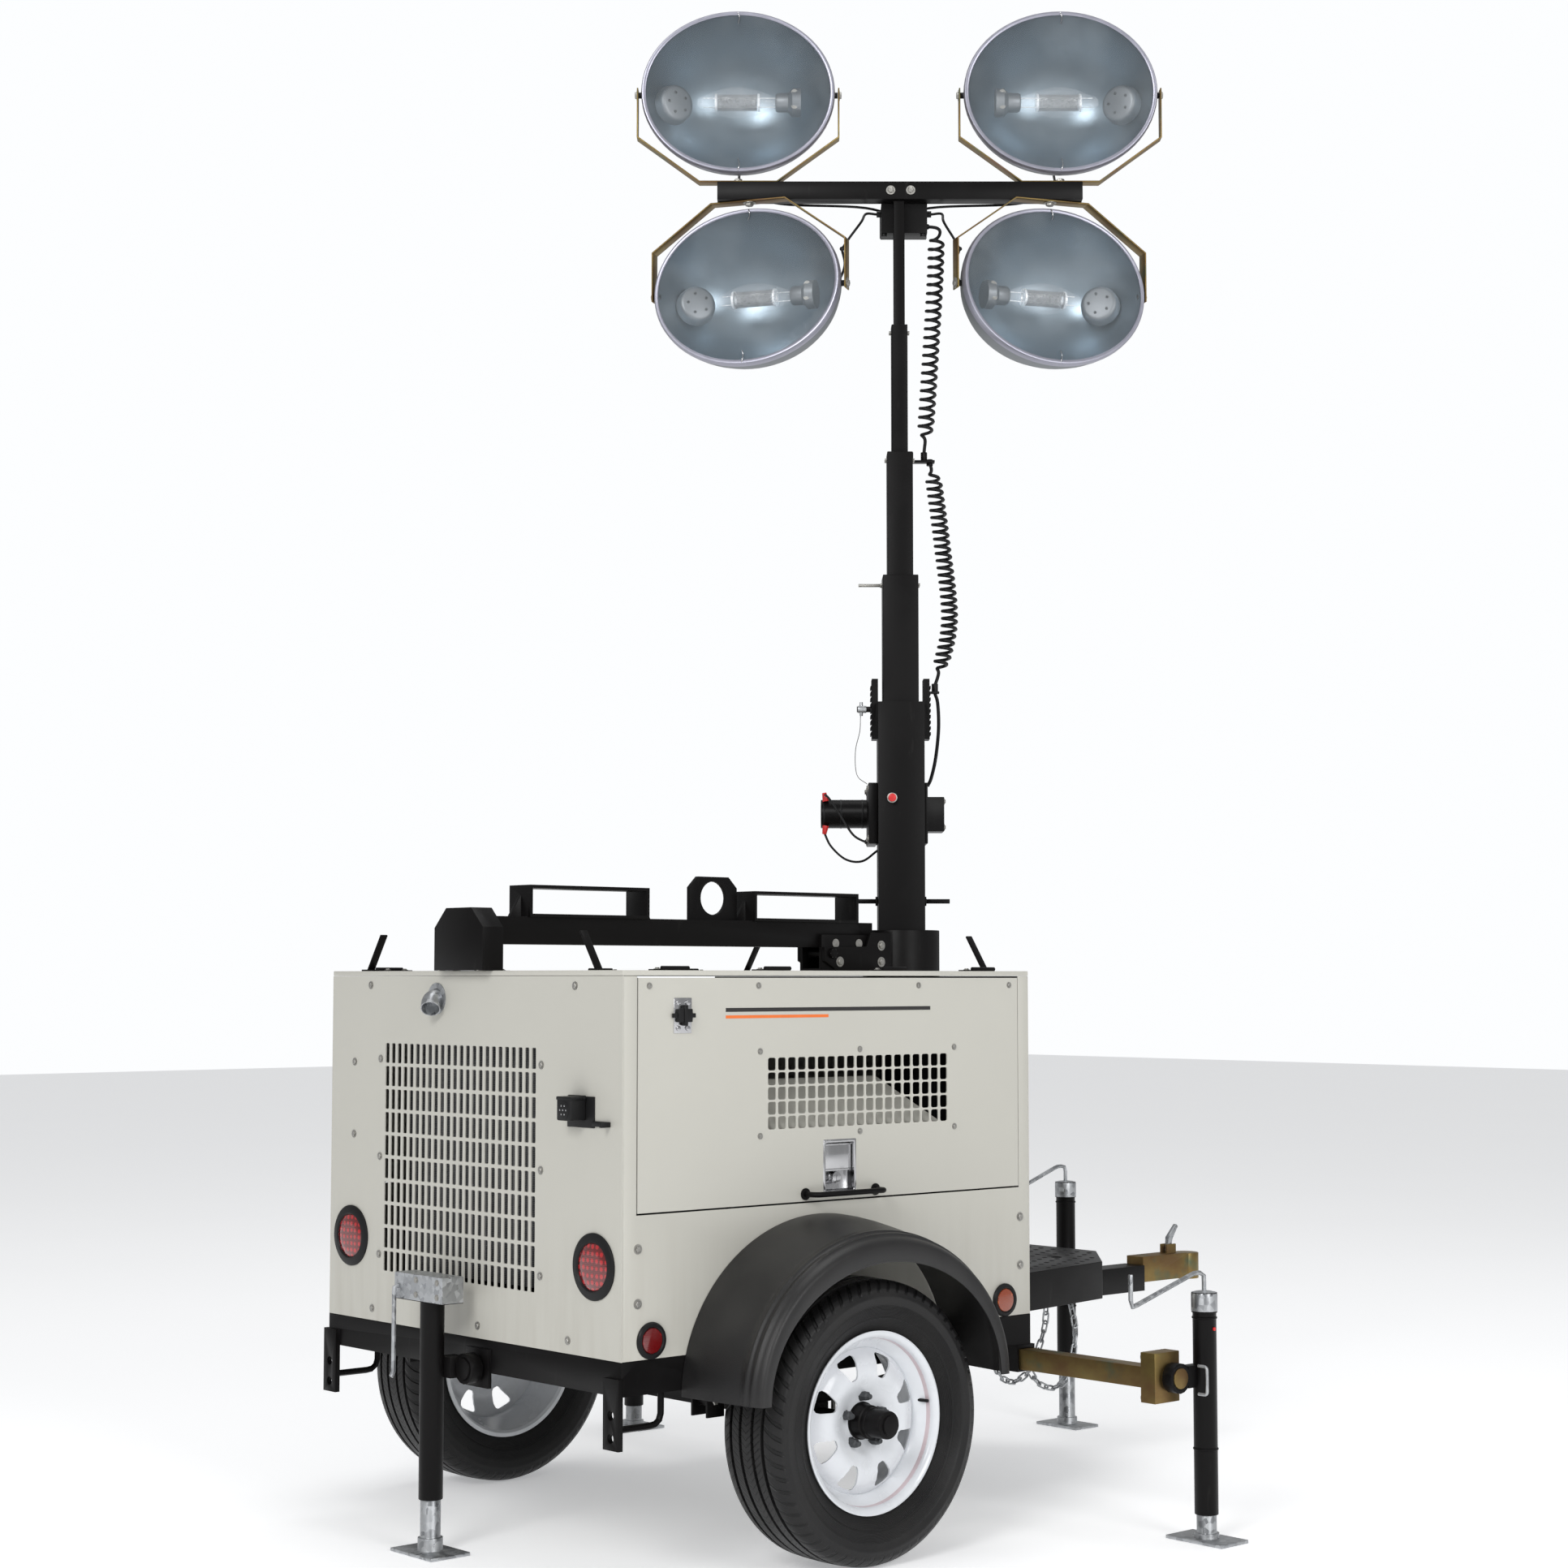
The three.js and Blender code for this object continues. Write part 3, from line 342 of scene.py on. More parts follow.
def bends(corners, bend, steps=7):
    """Corner points with each inner corner rounded."""
    corners = [Vector(corner) for corner in corners]
    route = [corners[0]]
    for before, corner, after in zip(corners, corners[1:], corners[2:]):
        start = corner + (before - corner).normalized() * bend
        stop = corner + (after - corner).normalized() * bend
        for i in range(steps + 1):
            t = i / steps
            route.append((1 - t) ** 2 * start + 2 * t * (1 - t) * corner + t * t * stop)
    return route + [corners[-1]]


def flowing(points, per_span=8):
    """A smooth curve through given points."""
    points = [Vector(point) for point in points]
    points = [2 * points[0] - points[1], *points, 2 * points[-1] - points[-2]]
    route = []
    for a, b, c, d in zip(points, points[1:], points[2:], points[3:]):
        for i in range(per_span):
            t = i / per_span
            route.append(0.5 * ((2 * b) + (c - a) * t + (2 * a - 5 * b + 4 * c - d) * t * t
                                + (3 * b - a - 3 * c + d) * t ** 3))
    return route + [points[-2]]


def join(name, pieces):
    select_only(*pieces)
    if len(pieces) > 1:
        bpy.ops.object.join()
    pieces[0].name = name
    return pieces[0]


def cut(piece, *tools):
    tool = join("tool", list(tools))
    modify(piece, "BOOLEAN", operation="DIFFERENCE", object=tool, solver="EXACT")
    bpy.data.objects.remove(tool)
    return piece


def copy_at(piece, name, matrix):
    twin = bpy.data.objects.new(name, piece.data.copy())
    bpy.context.scene.collection.objects.link(twin)
    twin.data.transform(matrix)
    if matrix.determinant() < 0:
        twin.data.flip_normals()
    return twin


def discard(*pieces):
    for piece in pieces:
        bpy.data.objects.remove(piece)


def refined(node, name, edge=0.0012, segments=2):
    """A copy of a CAD node with whole faces and softened edges, which stands for it."""
    piece = copy_at(FRAME["nodes"][node], name, Matrix.Identity(4))
    select_only(piece)
    bpy.ops.mesh.customdata_custom_splitnormals_clear()
    clean(piece)
    bpy.ops.object.mode_set(mode="EDIT")
    bpy.ops.mesh.select_all(action="SELECT")
    bpy.ops.mesh.dissolve_limited(angle_limit=math.radians(1))
    bpy.ops.object.mode_set(mode="OBJECT")
    bevel(piece, edge, segments)
    smooth(piece)
    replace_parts(piece, node)
    return piece


def toward(way):
    """A turn that takes +Z to the given way."""
    return Vector(way).to_track_quat("Z", "Y").to_matrix().to_4x4()


def bolts(name, places, way, radius=0.0065, height=0.005, washer=True):
    """Hexagon bolt heads with washers, all facing one way, as one piece."""
    parts = [lathe("head", [(0, 0), (radius, 0), (radius, height * 0.8), (radius * 0.8, height),
                            (0, height)], steps=6, angle=20)]
    if washer:
        rim, low, high = radius * 1.5, -0.0005, 0.0012
        parts.append(lathe("washer", [(0, low), (rim, low), (rim, high), (0, high)], steps=20))
    master = join("bolt", parts)
    turn = toward(way)
    copies = [copy_at(master, name, Matrix.Translation(place) @ turn) for place in places]
    discard(master)
    return join(name, copies)


def fit(piece, body, finish):
    """Gives a piece its finish and the body that it moves with."""
    piece.data.materials.clear()
    piece.data.materials.append(finish_material(finish))
    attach(piece, body)
    return piece


def fit_bolts(body, *settings):
    """Steel bolts as one piece, fitted to the body that they move with."""
    return fit(bolts(*settings), body, "bolt steel")


def block_on_mast(name, low, high, edge=0.001):
    piece = block(name, low, high, edge)
    piece.data.transform(MAST_MATRIX)
    return piece


def rod_on_mast(name, start, end, radius, **settings):
    return rod(name, on_mast(*start), on_mast(*end), radius, **settings)


# ------------------------------------------------------------------ materials


class Value:
    """A number or colour inside a material, written with ordinary sums."""

    def __init__(self, graph, socket):
        self.graph, self.socket = graph, socket

    def __add__(self, other):
        return self.graph.maths("ADD", self, other)

    def __sub__(self, other):
        return self.graph.maths("SUBTRACT", self, other)

    def __mul__(self, other):
        return self.graph.maths("MULTIPLY", self, other)

    __radd__, __rmul__ = __add__, __mul__

    def __rsub__(self, other):
        return self.graph.maths("SUBTRACT", other, self)


class Graph:
    """The nodes of one material, around its Principled shader."""

    def __init__(self, name):
        self.material = bpy.data.materials.new(name)
        self.material.use_nodes = True
        self.tree = self.material.node_tree
        self.shader = next(n for n in self.tree.nodes if n.type == "BSDF_PRINCIPLED")
        self.place = self.node("TexCoord", output="Object")

    def node(self, kind, output=0, inputs=None, **settings):
        made = self.tree.nodes.new("ShaderNode" + kind)
        for setting, value in settings.items():
            setattr(made, setting, value)
        for socket, value in (inputs or {}).items():
            self.feed(made.inputs[socket], value)
        return Value(self, made.outputs[output])

    def feed(self, socket, value):
        if isinstance(value, Value):
            self.tree.links.new(value.socket, socket)
        elif socket.type == "RGBA" and len(value) == 3:
            socket.default_value = (*value, 1)
        else:
            socket.default_value = value

    def maths(self, operation, *values):
        return self.node("Math", operation=operation, inputs=dict(enumerate(values)))

    def mix(self, share, first, second):
        return self.node("Mix", output=2, data_type="RGBA", inputs={0: share, 6: first, 7: second})

    def stretched(self, scale):
        return self.node("Mapping", inputs={"Vector": self.place, "Scale": scale})

    def noise(self, scale, detail=3, stretch=None):
        place = self.stretched(stretch) if stretch else self.place
        return self.node("TexNoise", inputs={"Vector": place, "Scale": scale, "Detail": detail})

    def cells(self, scale, output="Distance", randomness=1.0, **settings):
        return self.node("TexVoronoi", output=output, **settings,
                         inputs={"Vector": self.place, "Scale": scale, "Randomness": randomness})

    def part(self, index):
        return self.node("SeparateXYZ", output=index, inputs={"Vector": self.place})

    def ramp(self, value, low, high):
        return self.node("MapRange", inputs={"Value": value, "From Min": low, "From Max": high})

    def bump(self, height, distance, strength=1.0):
        return self.node("Bump", inputs={"Height": height, "Distance": distance,
                                         "Strength": strength})

    def show(self, **inputs):
        """Fills the shader's sockets, named with underscores for spaces."""
        for name, value in inputs.items():
            self.feed(self.shader.inputs[name.replace("_", " ")], value)


def tinted(colour, factor):
    return tuple(min(1.0, channel * factor) for channel in colour)


def cabinet_paint(graph):
    colour = bpy.context.scene.tower_cabinet.paint
    clouds = graph.noise(1.7, 4)
    streaks = graph.noise(5, 4, (6, 6, 0.6))
    dust = graph.ramp(graph.part(2), 0.85, 0.45) * graph.ramp(streaks, 0.4, 0.7)
    base = graph.mix(clouds, tinted(colour, 0.95), tinted(colour, 1.05))
    graph.show(Base_Color=graph.mix(dust * 0.22, base, (0.33, 0.30, 0.25)),
               Roughness=0.30 + 0.14 * clouds + 0.18 * dust, Specular_IOR_Level=0.45,
               Normal=graph.bump(graph.noise(520, 2), 0.00025, 0.35))


def powder_coat(graph):
    colour = bpy.context.scene.tower_running.coat
    grains = graph.cells(1400, feature="SMOOTH_F1")
    clouds = graph.noise(4, 5)
    dust = graph.ramp(clouds, 0.48, 0.78)
    scuffs = graph.ramp(graph.noise(38, 6, (1, 1, 0.2)), 0.66, 0.74)
    base = graph.mix(dust * 0.35, colour, tinted(colour, 2.2))
    graph.show(Base_Color=graph.mix(scuffs * 0.18, base, (0.04, 0.038, 0.036)),
               Roughness=0.36 + 0.20 * dust, Specular_IOR_Level=0.12,
               Normal=graph.bump(grains, 0.0002, 0.25))


def moulded_plastic(graph):
    clouds = graph.noise(6, 4)
    graph.show(Base_Color=graph.mix(clouds, (0.006, 0.006, 0.0065), (0.013, 0.013, 0.0135)),
               Roughness=0.34 + 0.2 * clouds, Specular_IOR_Level=0.2,
               Normal=graph.bump(graph.noise(900, 2), 0.0003, 0.4))


def fender_plastic(graph):
    clouds = graph.noise(7, 5)
    graph.show(Base_Color=graph.mix(graph.ramp(clouds, 0.4, 0.8), (0.010, 0.0096, 0.010),
                                    (0.022, 0.021, 0.0205)),
               Roughness=0.30 + 0.14 * clouds, Specular_IOR_Level=0.42,
               Normal=graph.bump(graph.cells(700), 0.0006, 0.4))


def tyre_rubber(graph):
    wheel = pivot("wheel_left_spin")
    x, y, z = (graph.part(i) for i in range(3))
    across, up = x - wheel.x, z - wheel.z
    radius = graph.maths("SQRT", across * across + up * up)
    turn = graph.maths("ARCTAN2", across, up)
    offset = graph.maths("ABSOLUTE", graph.maths("ABSOLUTE", y) - abs(wheel.y))
    count = bpy.context.scene.tower_running.sipes
    lean = offset * 160
    blocks = graph.ramp(graph.maths("SINE", turn * count + lean), 0.35, 0.8)
    shoulder = graph.ramp(offset, 0.050, 0.060) * graph.ramp(radius, 0.296, 0.306)
    ribs = (graph.ramp(graph.maths("SINE", turn * count * 2 - lean * 2), 0.72, 0.95)
            * graph.ramp(offset, 0.05, 0.044) * graph.ramp(radius, 0.315, 0.32))
    rings = graph.maths("SINE", radius * 2600) * graph.ramp(radius, 0.27, 0.265)
    wall = graph.ramp(radius, 0.305, 0.29)
    height = graph.noise(260, 3) * 0.12 - blocks * shoulder - ribs * 0.7 + rings * 0.2
    dust = graph.ramp(graph.noise(9, 5), 0.42, 0.75)
    base = graph.mix(dust * (0.35 + wall * 0.3), (0.0075, 0.0072, 0.0075), (0.020, 0.019, 0.018))
    # Painted shade: the grooves between the tread blocks and the gaps between the shoulder ribs are
    # painted near black, standing in for the shade inside them.
    grooves = (blocks * shoulder + ribs) * 0.9
    graph.show(Base_Color=graph.mix(grooves, base, (0.0015, 0.0015, 0.0015)),
               Roughness=0.40 + 0.2 * dust, Specular_IOR_Level=0.32,
               Normal=graph.bump(height, 0.004, 0.8))


def rim_paint(graph):
    running = bpy.context.scene.tower_running
    wheel = pivot("wheel_left_spin")
    across, up = graph.part(0) - wheel.x, graph.part(2) - wheel.z
    radius = graph.maths("SQRT", across * across + up * up)
    line = graph.ramp(radius, 0.1885, 0.1889) * graph.ramp(radius, 0.1907, 0.1903)
    outer = graph.ramp(graph.maths("ABSOLUTE", graph.part(1)), 0.758, 0.76)
    dust = graph.ramp(graph.noise(14, 5), 0.45, 0.8)
    base = graph.mix(dust * 0.3, running.rim_paint, tinted(running.rim_paint, 0.55))
    graph.show(Base_Color=graph.mix(line * outer * 0.3, base, running.stripe),
               Roughness=0.20 + 0.25 * dust, Coat_Weight=0.25,
               Normal=graph.bump(graph.noise(300, 2), 0.0003, 0.25))


def yellow_zinc(graph):
    film = graph.noise(9, 5, (1, 1, 1.6))
    warm = graph.mix(graph.ramp(film, 0.35, 0.65), (0.24, 0.175, 0.06), (0.17, 0.10, 0.04))
    colour = graph.mix(graph.ramp(graph.noise(14, 4), 0.55, 0.75), warm, (0.10, 0.13, 0.08))
    graph.show(Base_Color=graph.mix(graph.ramp(graph.noise(6, 3), 0.62, 0.8), colour,
                                    (0.19, 0.09, 0.115)),
               Metallic=0.85 - 0.1 * film, Roughness=0.30 + 0.22 * film,
               Normal=graph.bump(graph.noise(600, 3), 0.0002, 0.3))


def zinc_spangle(graph):
    spangle = graph.node("SeparateColor", inputs={"Color": graph.cells(75, "Color")})
    clouds = graph.noise(10, 5)
    colour = graph.mix(spangle, (0.30, 0.31, 0.325), (0.52, 0.535, 0.55))
    dull = graph.ramp(clouds, 0.5, 0.8)
    graph.show(Base_Color=graph.mix(dull * 0.45, colour, (0.25, 0.25, 0.24)),
               Metallic=0.9 - 0.3 * dull, Roughness=0.26 + 0.25 * spangle,
               Normal=graph.bump(graph.noise(240, 4), 0.0004, 0.25))


def bright_steel(graph):
    marks = graph.noise(45, 5, (1, 1, 0.1))
    graph.show(Base_Color=graph.mix(marks, (0.42, 0.42, 0.43), (0.60, 0.60, 0.61)), Metallic=1.0,
               Roughness=0.14 + 0.22 * graph.ramp(marks, 0.35, 0.75),
               Normal=graph.bump(marks, 0.0001, 0.3))


def bolt_steel(graph):
    marks = graph.noise(160, 4)
    graph.show(Base_Color=graph.mix(marks, (0.20, 0.195, 0.18), (0.50, 0.49, 0.46)),
               Metallic=0.95 - 0.2 * marks, Roughness=0.28 + 0.25 * marks,
               Normal=graph.bump(marks, 0.0002, 0.4))


def reflector_metal(graph):
    colour = bpy.context.scene.tower_lights.reflector
    sweep = graph.noise(3.2, 3)
    fine = graph.noise(480, 2)
    height = graph.part(2)
    # Painted sheen: each bowl is a lighter copy of the reflector colour toward its bottom and a
    # darker copy toward its top, standing in for the light that the bowl reflects. Bowls above 3.54 m
    # and bowls below it get their own ramps, and satin holds the painted result.
    upper = graph.maths("GREATER_THAN", height, 3.54)
    rise = upper * graph.ramp(height, 3.60, 4.02) + (1 - upper) * graph.ramp(height, 3.05, 3.47)
    satin = graph.mix(rise, tinted(colour, 1.8), tinted(colour, 0.60))
    graph.show(Base_Color=graph.mix(sweep * 0.4, satin, colour),
               Metallic=0.90 + 0.08 * sweep, Roughness=0.27 + 0.10 * sweep + 0.06 * fine,
               Normal=graph.bump(sweep, 0.003, 0.2))


def lamp_back(graph):
    clouds = graph.noise(8, 5)
    graph.show(Base_Color=graph.mix(clouds, (0.17, 0.185, 0.20), (0.27, 0.285, 0.30)),
               Metallic=0.7 + 0.15 * clouds, Roughness=0.38 + 0.15 * clouds,
               Normal=graph.bump(graph.noise(350, 3), 0.0003, 0.3))


def lens_band(graph):
    colour = bpy.context.scene.tower_lights.band
    marks = graph.noise(30, 4)
    graph.show(Base_Color=graph.mix(marks, tinted(colour, 0.9), tinted(colour, 1.15)),
               Metallic=0.55 + 0.1 * marks, Roughness=0.25 + 0.15 * marks,
               Normal=graph.bump(marks, 0.0002, 0.2))


def lens_glass(graph):
    smear = graph.ramp(graph.noise(7, 4), 0.45, 0.8)
    graph.show(Base_Color=(0.82, 0.90, 0.95), Roughness=0.03 + 0.05 * smear,
               Alpha=0.04 + 0.04 * smear, Specular_IOR_Level=0.5)
    graph.material.surface_render_method = "BLENDED"


def bulb_glass(graph):
    smear = graph.ramp(graph.noise(60, 3), 0.4, 0.8)
    graph.show(Base_Color=(0.92, 0.96, 1.0), Roughness=0.04 + 0.05 * smear,
               Alpha=0.10 + 0.08 * smear, Specular_IOR_Level=0.9)
    graph.material.surface_render_method = "BLENDED"


def bulb_core(graph):
    marks = graph.noise(90, 3)
    graph.show(Base_Color=graph.mix(marks, (0.82, 0.84, 0.86), (0.97, 0.98, 1.0)),
               Roughness=0.18 + 0.2 * marks, Metallic=0.3 + 0.2 * marks)


def marker_lens(colour, dark):
    def build(graph):
        dots = graph.ramp(graph.cells(62, randomness=0.12), 0.40, 0.26)
        ridges = graph.maths("SINE", graph.part(2) * 1500)
        graph.show(Base_Color=graph.mix(dots, dark, colour), Roughness=0.14 + 0.1 * dots,
                   Coat_Weight=0.8, Specular_IOR_Level=0.6,
                   Emission_Color=graph.mix(dots, (0, 0, 0), colour), Emission_Strength=0.07,
                   Normal=graph.bump(ridges * 0.3 + dots, 0.0006, 0.35))
    return build


def cord_jacket(graph):
    marks = graph.noise(120, 4)
    graph.show(Base_Color=graph.mix(marks, (0.005, 0.005, 0.0055), (0.013, 0.013, 0.0135)),
               Roughness=0.34 + 0.2 * marks, Specular_IOR_Level=0.2,
               Normal=graph.bump(marks, 0.0002, 0.3))


def cast_iron(graph):
    pits = graph.noise(140, 5)
    graph.show(Base_Color=graph.mix(pits, (0.035, 0.037, 0.04), (0.10, 0.105, 0.11)),
               Metallic=0.35 + 0.2 * pits, Roughness=0.5 + 0.2 * pits,
               Normal=graph.bump(pits, 0.001, 0.5))


def radiator_fins(graph):
    fins = graph.ramp(graph.maths("SINE", graph.part(2) * 2100), -0.3, 0.6)
    tubes = graph.ramp(graph.maths("SINE", graph.part(1) * 340), 0.75, 0.9)
    dust = graph.noise(22, 5)
    # Painted shade: the lighter stripes are the fins' own tone, and the dark stripes between them
    # stand for the shade in the gaps between the fins.
    base = graph.mix(fins, (0.02, 0.02, 0.022), (0.16, 0.165, 0.17))
    graph.show(Base_Color=graph.mix(tubes, base, (0.24, 0.24, 0.24)),
               Metallic=0.4 + 0.2 * fins, Roughness=0.45 + 0.25 * dust,
               Normal=graph.bump(fins + tubes, 0.001, 0.7))


def decal(colour):
    def build(graph):
        marks = graph.noise(25, 5)
        graph.show(Base_Color=graph.mix(marks, tinted(colour, 0.92), tinted(colour, 1.08)),
                   Roughness=0.3 + 0.12 * marks, Normal=graph.bump(marks, 0.0001, 0.2))
    return build


def floor_paint(graph):
    colour = bpy.context.scene.tower_stage.floor
    clouds = graph.noise(0.6, 3)
    graph.show(Base_Color=graph.mix(clouds, tinted(colour, 0.985), tinted(colour, 1.01)),
               Roughness=0.55 + 0.1 * clouds, Specular_IOR_Level=0.2,
               Emission_Color=(0.97, 0.98, 1.0), Emission_Strength=0.35)


# What each finish is made by, and the record's slot that it stands for.
FINISHES = {
    "cabinet paint": (cabinet_paint, "cabinet_grey"),
    "black coat": (powder_coat, "black_coat"),
    "black plastic": (moulded_plastic, "black_plastic"),
    "fender plastic": (fender_plastic, "black_plastic"),
    "tyre rubber": (tyre_rubber, "tyre_rubber"),
    "rim paint": (rim_paint, "rim_white"),
    "yellow zinc": (yellow_zinc, "zinc_yellow"),
    "galvanised": (zinc_spangle, "galvanised"),
    "bright steel": (bright_steel, "chrome"),
    "bolt steel": (bolt_steel, "steel_bolt"),
    "reflector": (reflector_metal, "reflector"),
    "lamp back": (lamp_back, "reflector"),
    "lens band": (lens_band, "reflector"),
    "lens glass": (lens_glass, "lamp_glass"),
    "bulb glass": (bulb_glass, "lamp_glass"),
    "bulb core": (bulb_core, "lamp_glass"),
    "red lens": (marker_lens((0.42, 0.006, 0.010), (0.13, 0.001, 0.002)), "lens_red"),
    "amber lens": (marker_lens((0.62, 0.13, 0.012), (0.26, 0.035, 0.002)), "lens_amber"),
    "cord jacket": (cord_jacket, "cord_rubber"),
    "cast iron": (cast_iron, "cast_iron"),
    "radiator fins": (radiator_fins, "radiator_core"),
    "orange decal": (decal((0.80, 0.17, 0.03)), "orange_paint"),
    "charcoal decal": (decal((0.022, 0.020, 0.020)), "black_coat"),
    "red cap": (decal((0.60, 0.02, 0.02)), "red_cap"),
    "floor": (floor_paint, None),
}


def finish_material(finish):
    """The finish's material, made once. Its name differs from those the frame brings."""
    name = finish.replace(" ", "_") + "_finish"
    if name not in bpy.data.materials:
        FINISHES[finish][0](Graph(name))
    return bpy.data.materials[name]


# ------------------------------------------------------------------ camera and cords

# Routes of the coiled cords: along the light bar, behind the mast, and height.
UPPER_ROUTE = ((0.108, 0.050, 3.425), (0.104, 0.050, 3.300), (0.088, 0.050, 3.050),
               (0.074, 0.048, 2.845))
LOWER_ROUTE = ((0.094, 0.048, 2.755), (0.120, 0.048, 2.550), (0.140, 0.048, 2.338),
               (0.112, 0.048, 2.190))


def coil_line(route, turns, per_turn=14):
    """The line of a coiled cord whose middle follows the route, tapering in at each end."""
    middle = flowing([on_mast(*point) for point in route], 30)
    lap = laps(middle)
    radius = bpy.context.scene.tower_lights.coil
    line, count, low = [], turns * per_turn, 0
    for i in range(count + 1):
        share = i / count
        while low < len(middle) - 2 and lap[low + 1] < share * lap[-1]:
            low += 1
        within = (share * lap[-1] - lap[low]) / (lap[low + 1] - lap[low])
        centre = middle[low].lerp(middle[low + 1], within)
        angle = 2 * math.pi * i / per_turn
        reach = radius * min(1.0, 0.55 + min(share, 1 - share) * turns)
        line.append(centre + BAR_WAY * (reach * math.cos(angle))
                    + BACK_WAY * (reach * math.sin(angle)))
    return line


def eased(line, reach=30, passes=70):
    """The line with the bends near its two ends rounded off, less and less further in."""
    last = len(line) - 1
    for _ in range(passes):
        line = [line[0], *[point.lerp((line[i] + line[i + 2]) / 2,
                                      0.5 * max(0.0, 1 - min(i + 1, last - i - 1) / reach) ** 2)
                           for i, point in enumerate(line[1:-1])], line[-1]]
    return line


def make_cord(name, route, bodies, radius=None):
    """A free cord between two bodies that one joint joins."""
    radius = radius or bpy.context.scene.tower_lights.wire / 2
    cord = fit(pipe(name, route, radius, 2), bodies[0], "cord jacket")
    cord.parent = None
    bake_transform(cord)
    laps(route)[-1]
    return cord


def mast_cord(name, points, radius, roundness=2, finish="cord jacket"):
    """A cord between two places on the mast's lowest section."""
    route = flowing([on_mast(*point) for point in points], 8)
    cord = fit(pipe(name, route, radius, roundness), "mast_1", finish)
    laps(route)[-1]


class TOWER_OT_camera(bpy.types.Operator):
    """Adds the camera at the view's own height and angle"""

    bl_idname = "tower.camera"
    bl_label = "Add Camera"

    def execute(self, context):
        stage = context.scene.tower_stage
        bpy.ops.object.camera_add(
            location=(-4.9625, -5.276, 1.338),
            rotation=(math.radians(90) + stage.rise, 0, stage.heading - math.radians(90)))
        camera = context.object
        camera.name = "camera"
        camera.data.lens = stage.lens
        camera.data.sensor_width = 36
        context.scene.camera = camera
        return {"FINISHED"}


class TOWER_OT_coil_cords(bpy.types.Operator):
    """Adds the two coiled cords that run down the mast, with their clips"""

    bl_idname = "tower.coil_cords"
    bl_label = "Add Coiled Cords"

    def execute(self, context):
        lights = context.scene.tower_lights
        tip, head = on_mast(0.070, 0.050, 3.452), on_mast(0.081, 0.050, 3.452)
        self.coil("coil_cord_upper", coil_line(UPPER_ROUTE, lights.upper_turns), 6,
                  [head, on_mast(0.106, 0.050, 3.452), on_mast(0.122, 0.049, 3.444)],
                  [on_mast(0.070, 0.050, 2.826), on_mast(0.0705, 0.050, 2.802)],
                  ("mast_5", "mast_4", "mast_3"))
        self.coil("coil_cord_lower", coil_line(LOWER_ROUTE, lights.lower_turns), 5,
                  [on_mast(0.0865, 0.050, 2.779), on_mast(0.088, 0.050, 2.768)],
                  [on_mast(0.104, 0.048, 2.176), on_mast(0.098, 0.044, 2.150)],
                  ("mast_3", "mast_2", "mast_1"))
        relief = rod("coil_strain_relief", tip, head + (head - tip) * 0.6, 0.011, end_radius=0.0066)
        fit(relief, "mast_5", "black plastic")
        clip = join("coil_clip", [
            block_on_mast("clip", (0.036, 0.034, 2.777), (0.100, 0.058, 2.784), 0.001),
            block_on_mast("ear", (0.036, 0.034, 2.777), (0.040, 0.058, 2.806), 0.001),
            rod_on_mast("gland", (0.0705, 0.050, 2.784), (0.0705, 0.050, 2.808), 0.009),
            rod_on_mast("gland", (0.0865, 0.050, 2.770), (0.0865, 0.050, 2.788), 0.009)])
        fit(clip, "mast_3", "black coat")
        foot = join("coil_foot", [
            rod_on_mast("foot", (0.098, 0.044, 2.128), (0.098, 0.044, 2.156), 0.009),
            block_on_mast("plate", (0.064, 0.034, 2.128), (0.110, 0.054, 2.134), 0.001)])
        fit(foot, "mast_1", "black plastic")
        return {"FINISHED"}

    def coil(self, node, line, steps, start, end, bodies):
        """Two cords that share one coil, split at its middle; each runs across one joint of the mast.
        """
        first, last = flowing([*start, line[2]], steps), flowing([line[-3], *end], steps)
        line = eased(first[:-1] + line[2:-2] + last[1:])
        middle = len(line) // 2
        upper = make_cord(f"{node}_a", line[:middle + 1], bodies[:2])
        make_cord(f"{node}_b", line[middle:], bodies[1:])
        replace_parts(upper, node)


# ------------------------------------------------------------------ cabinet


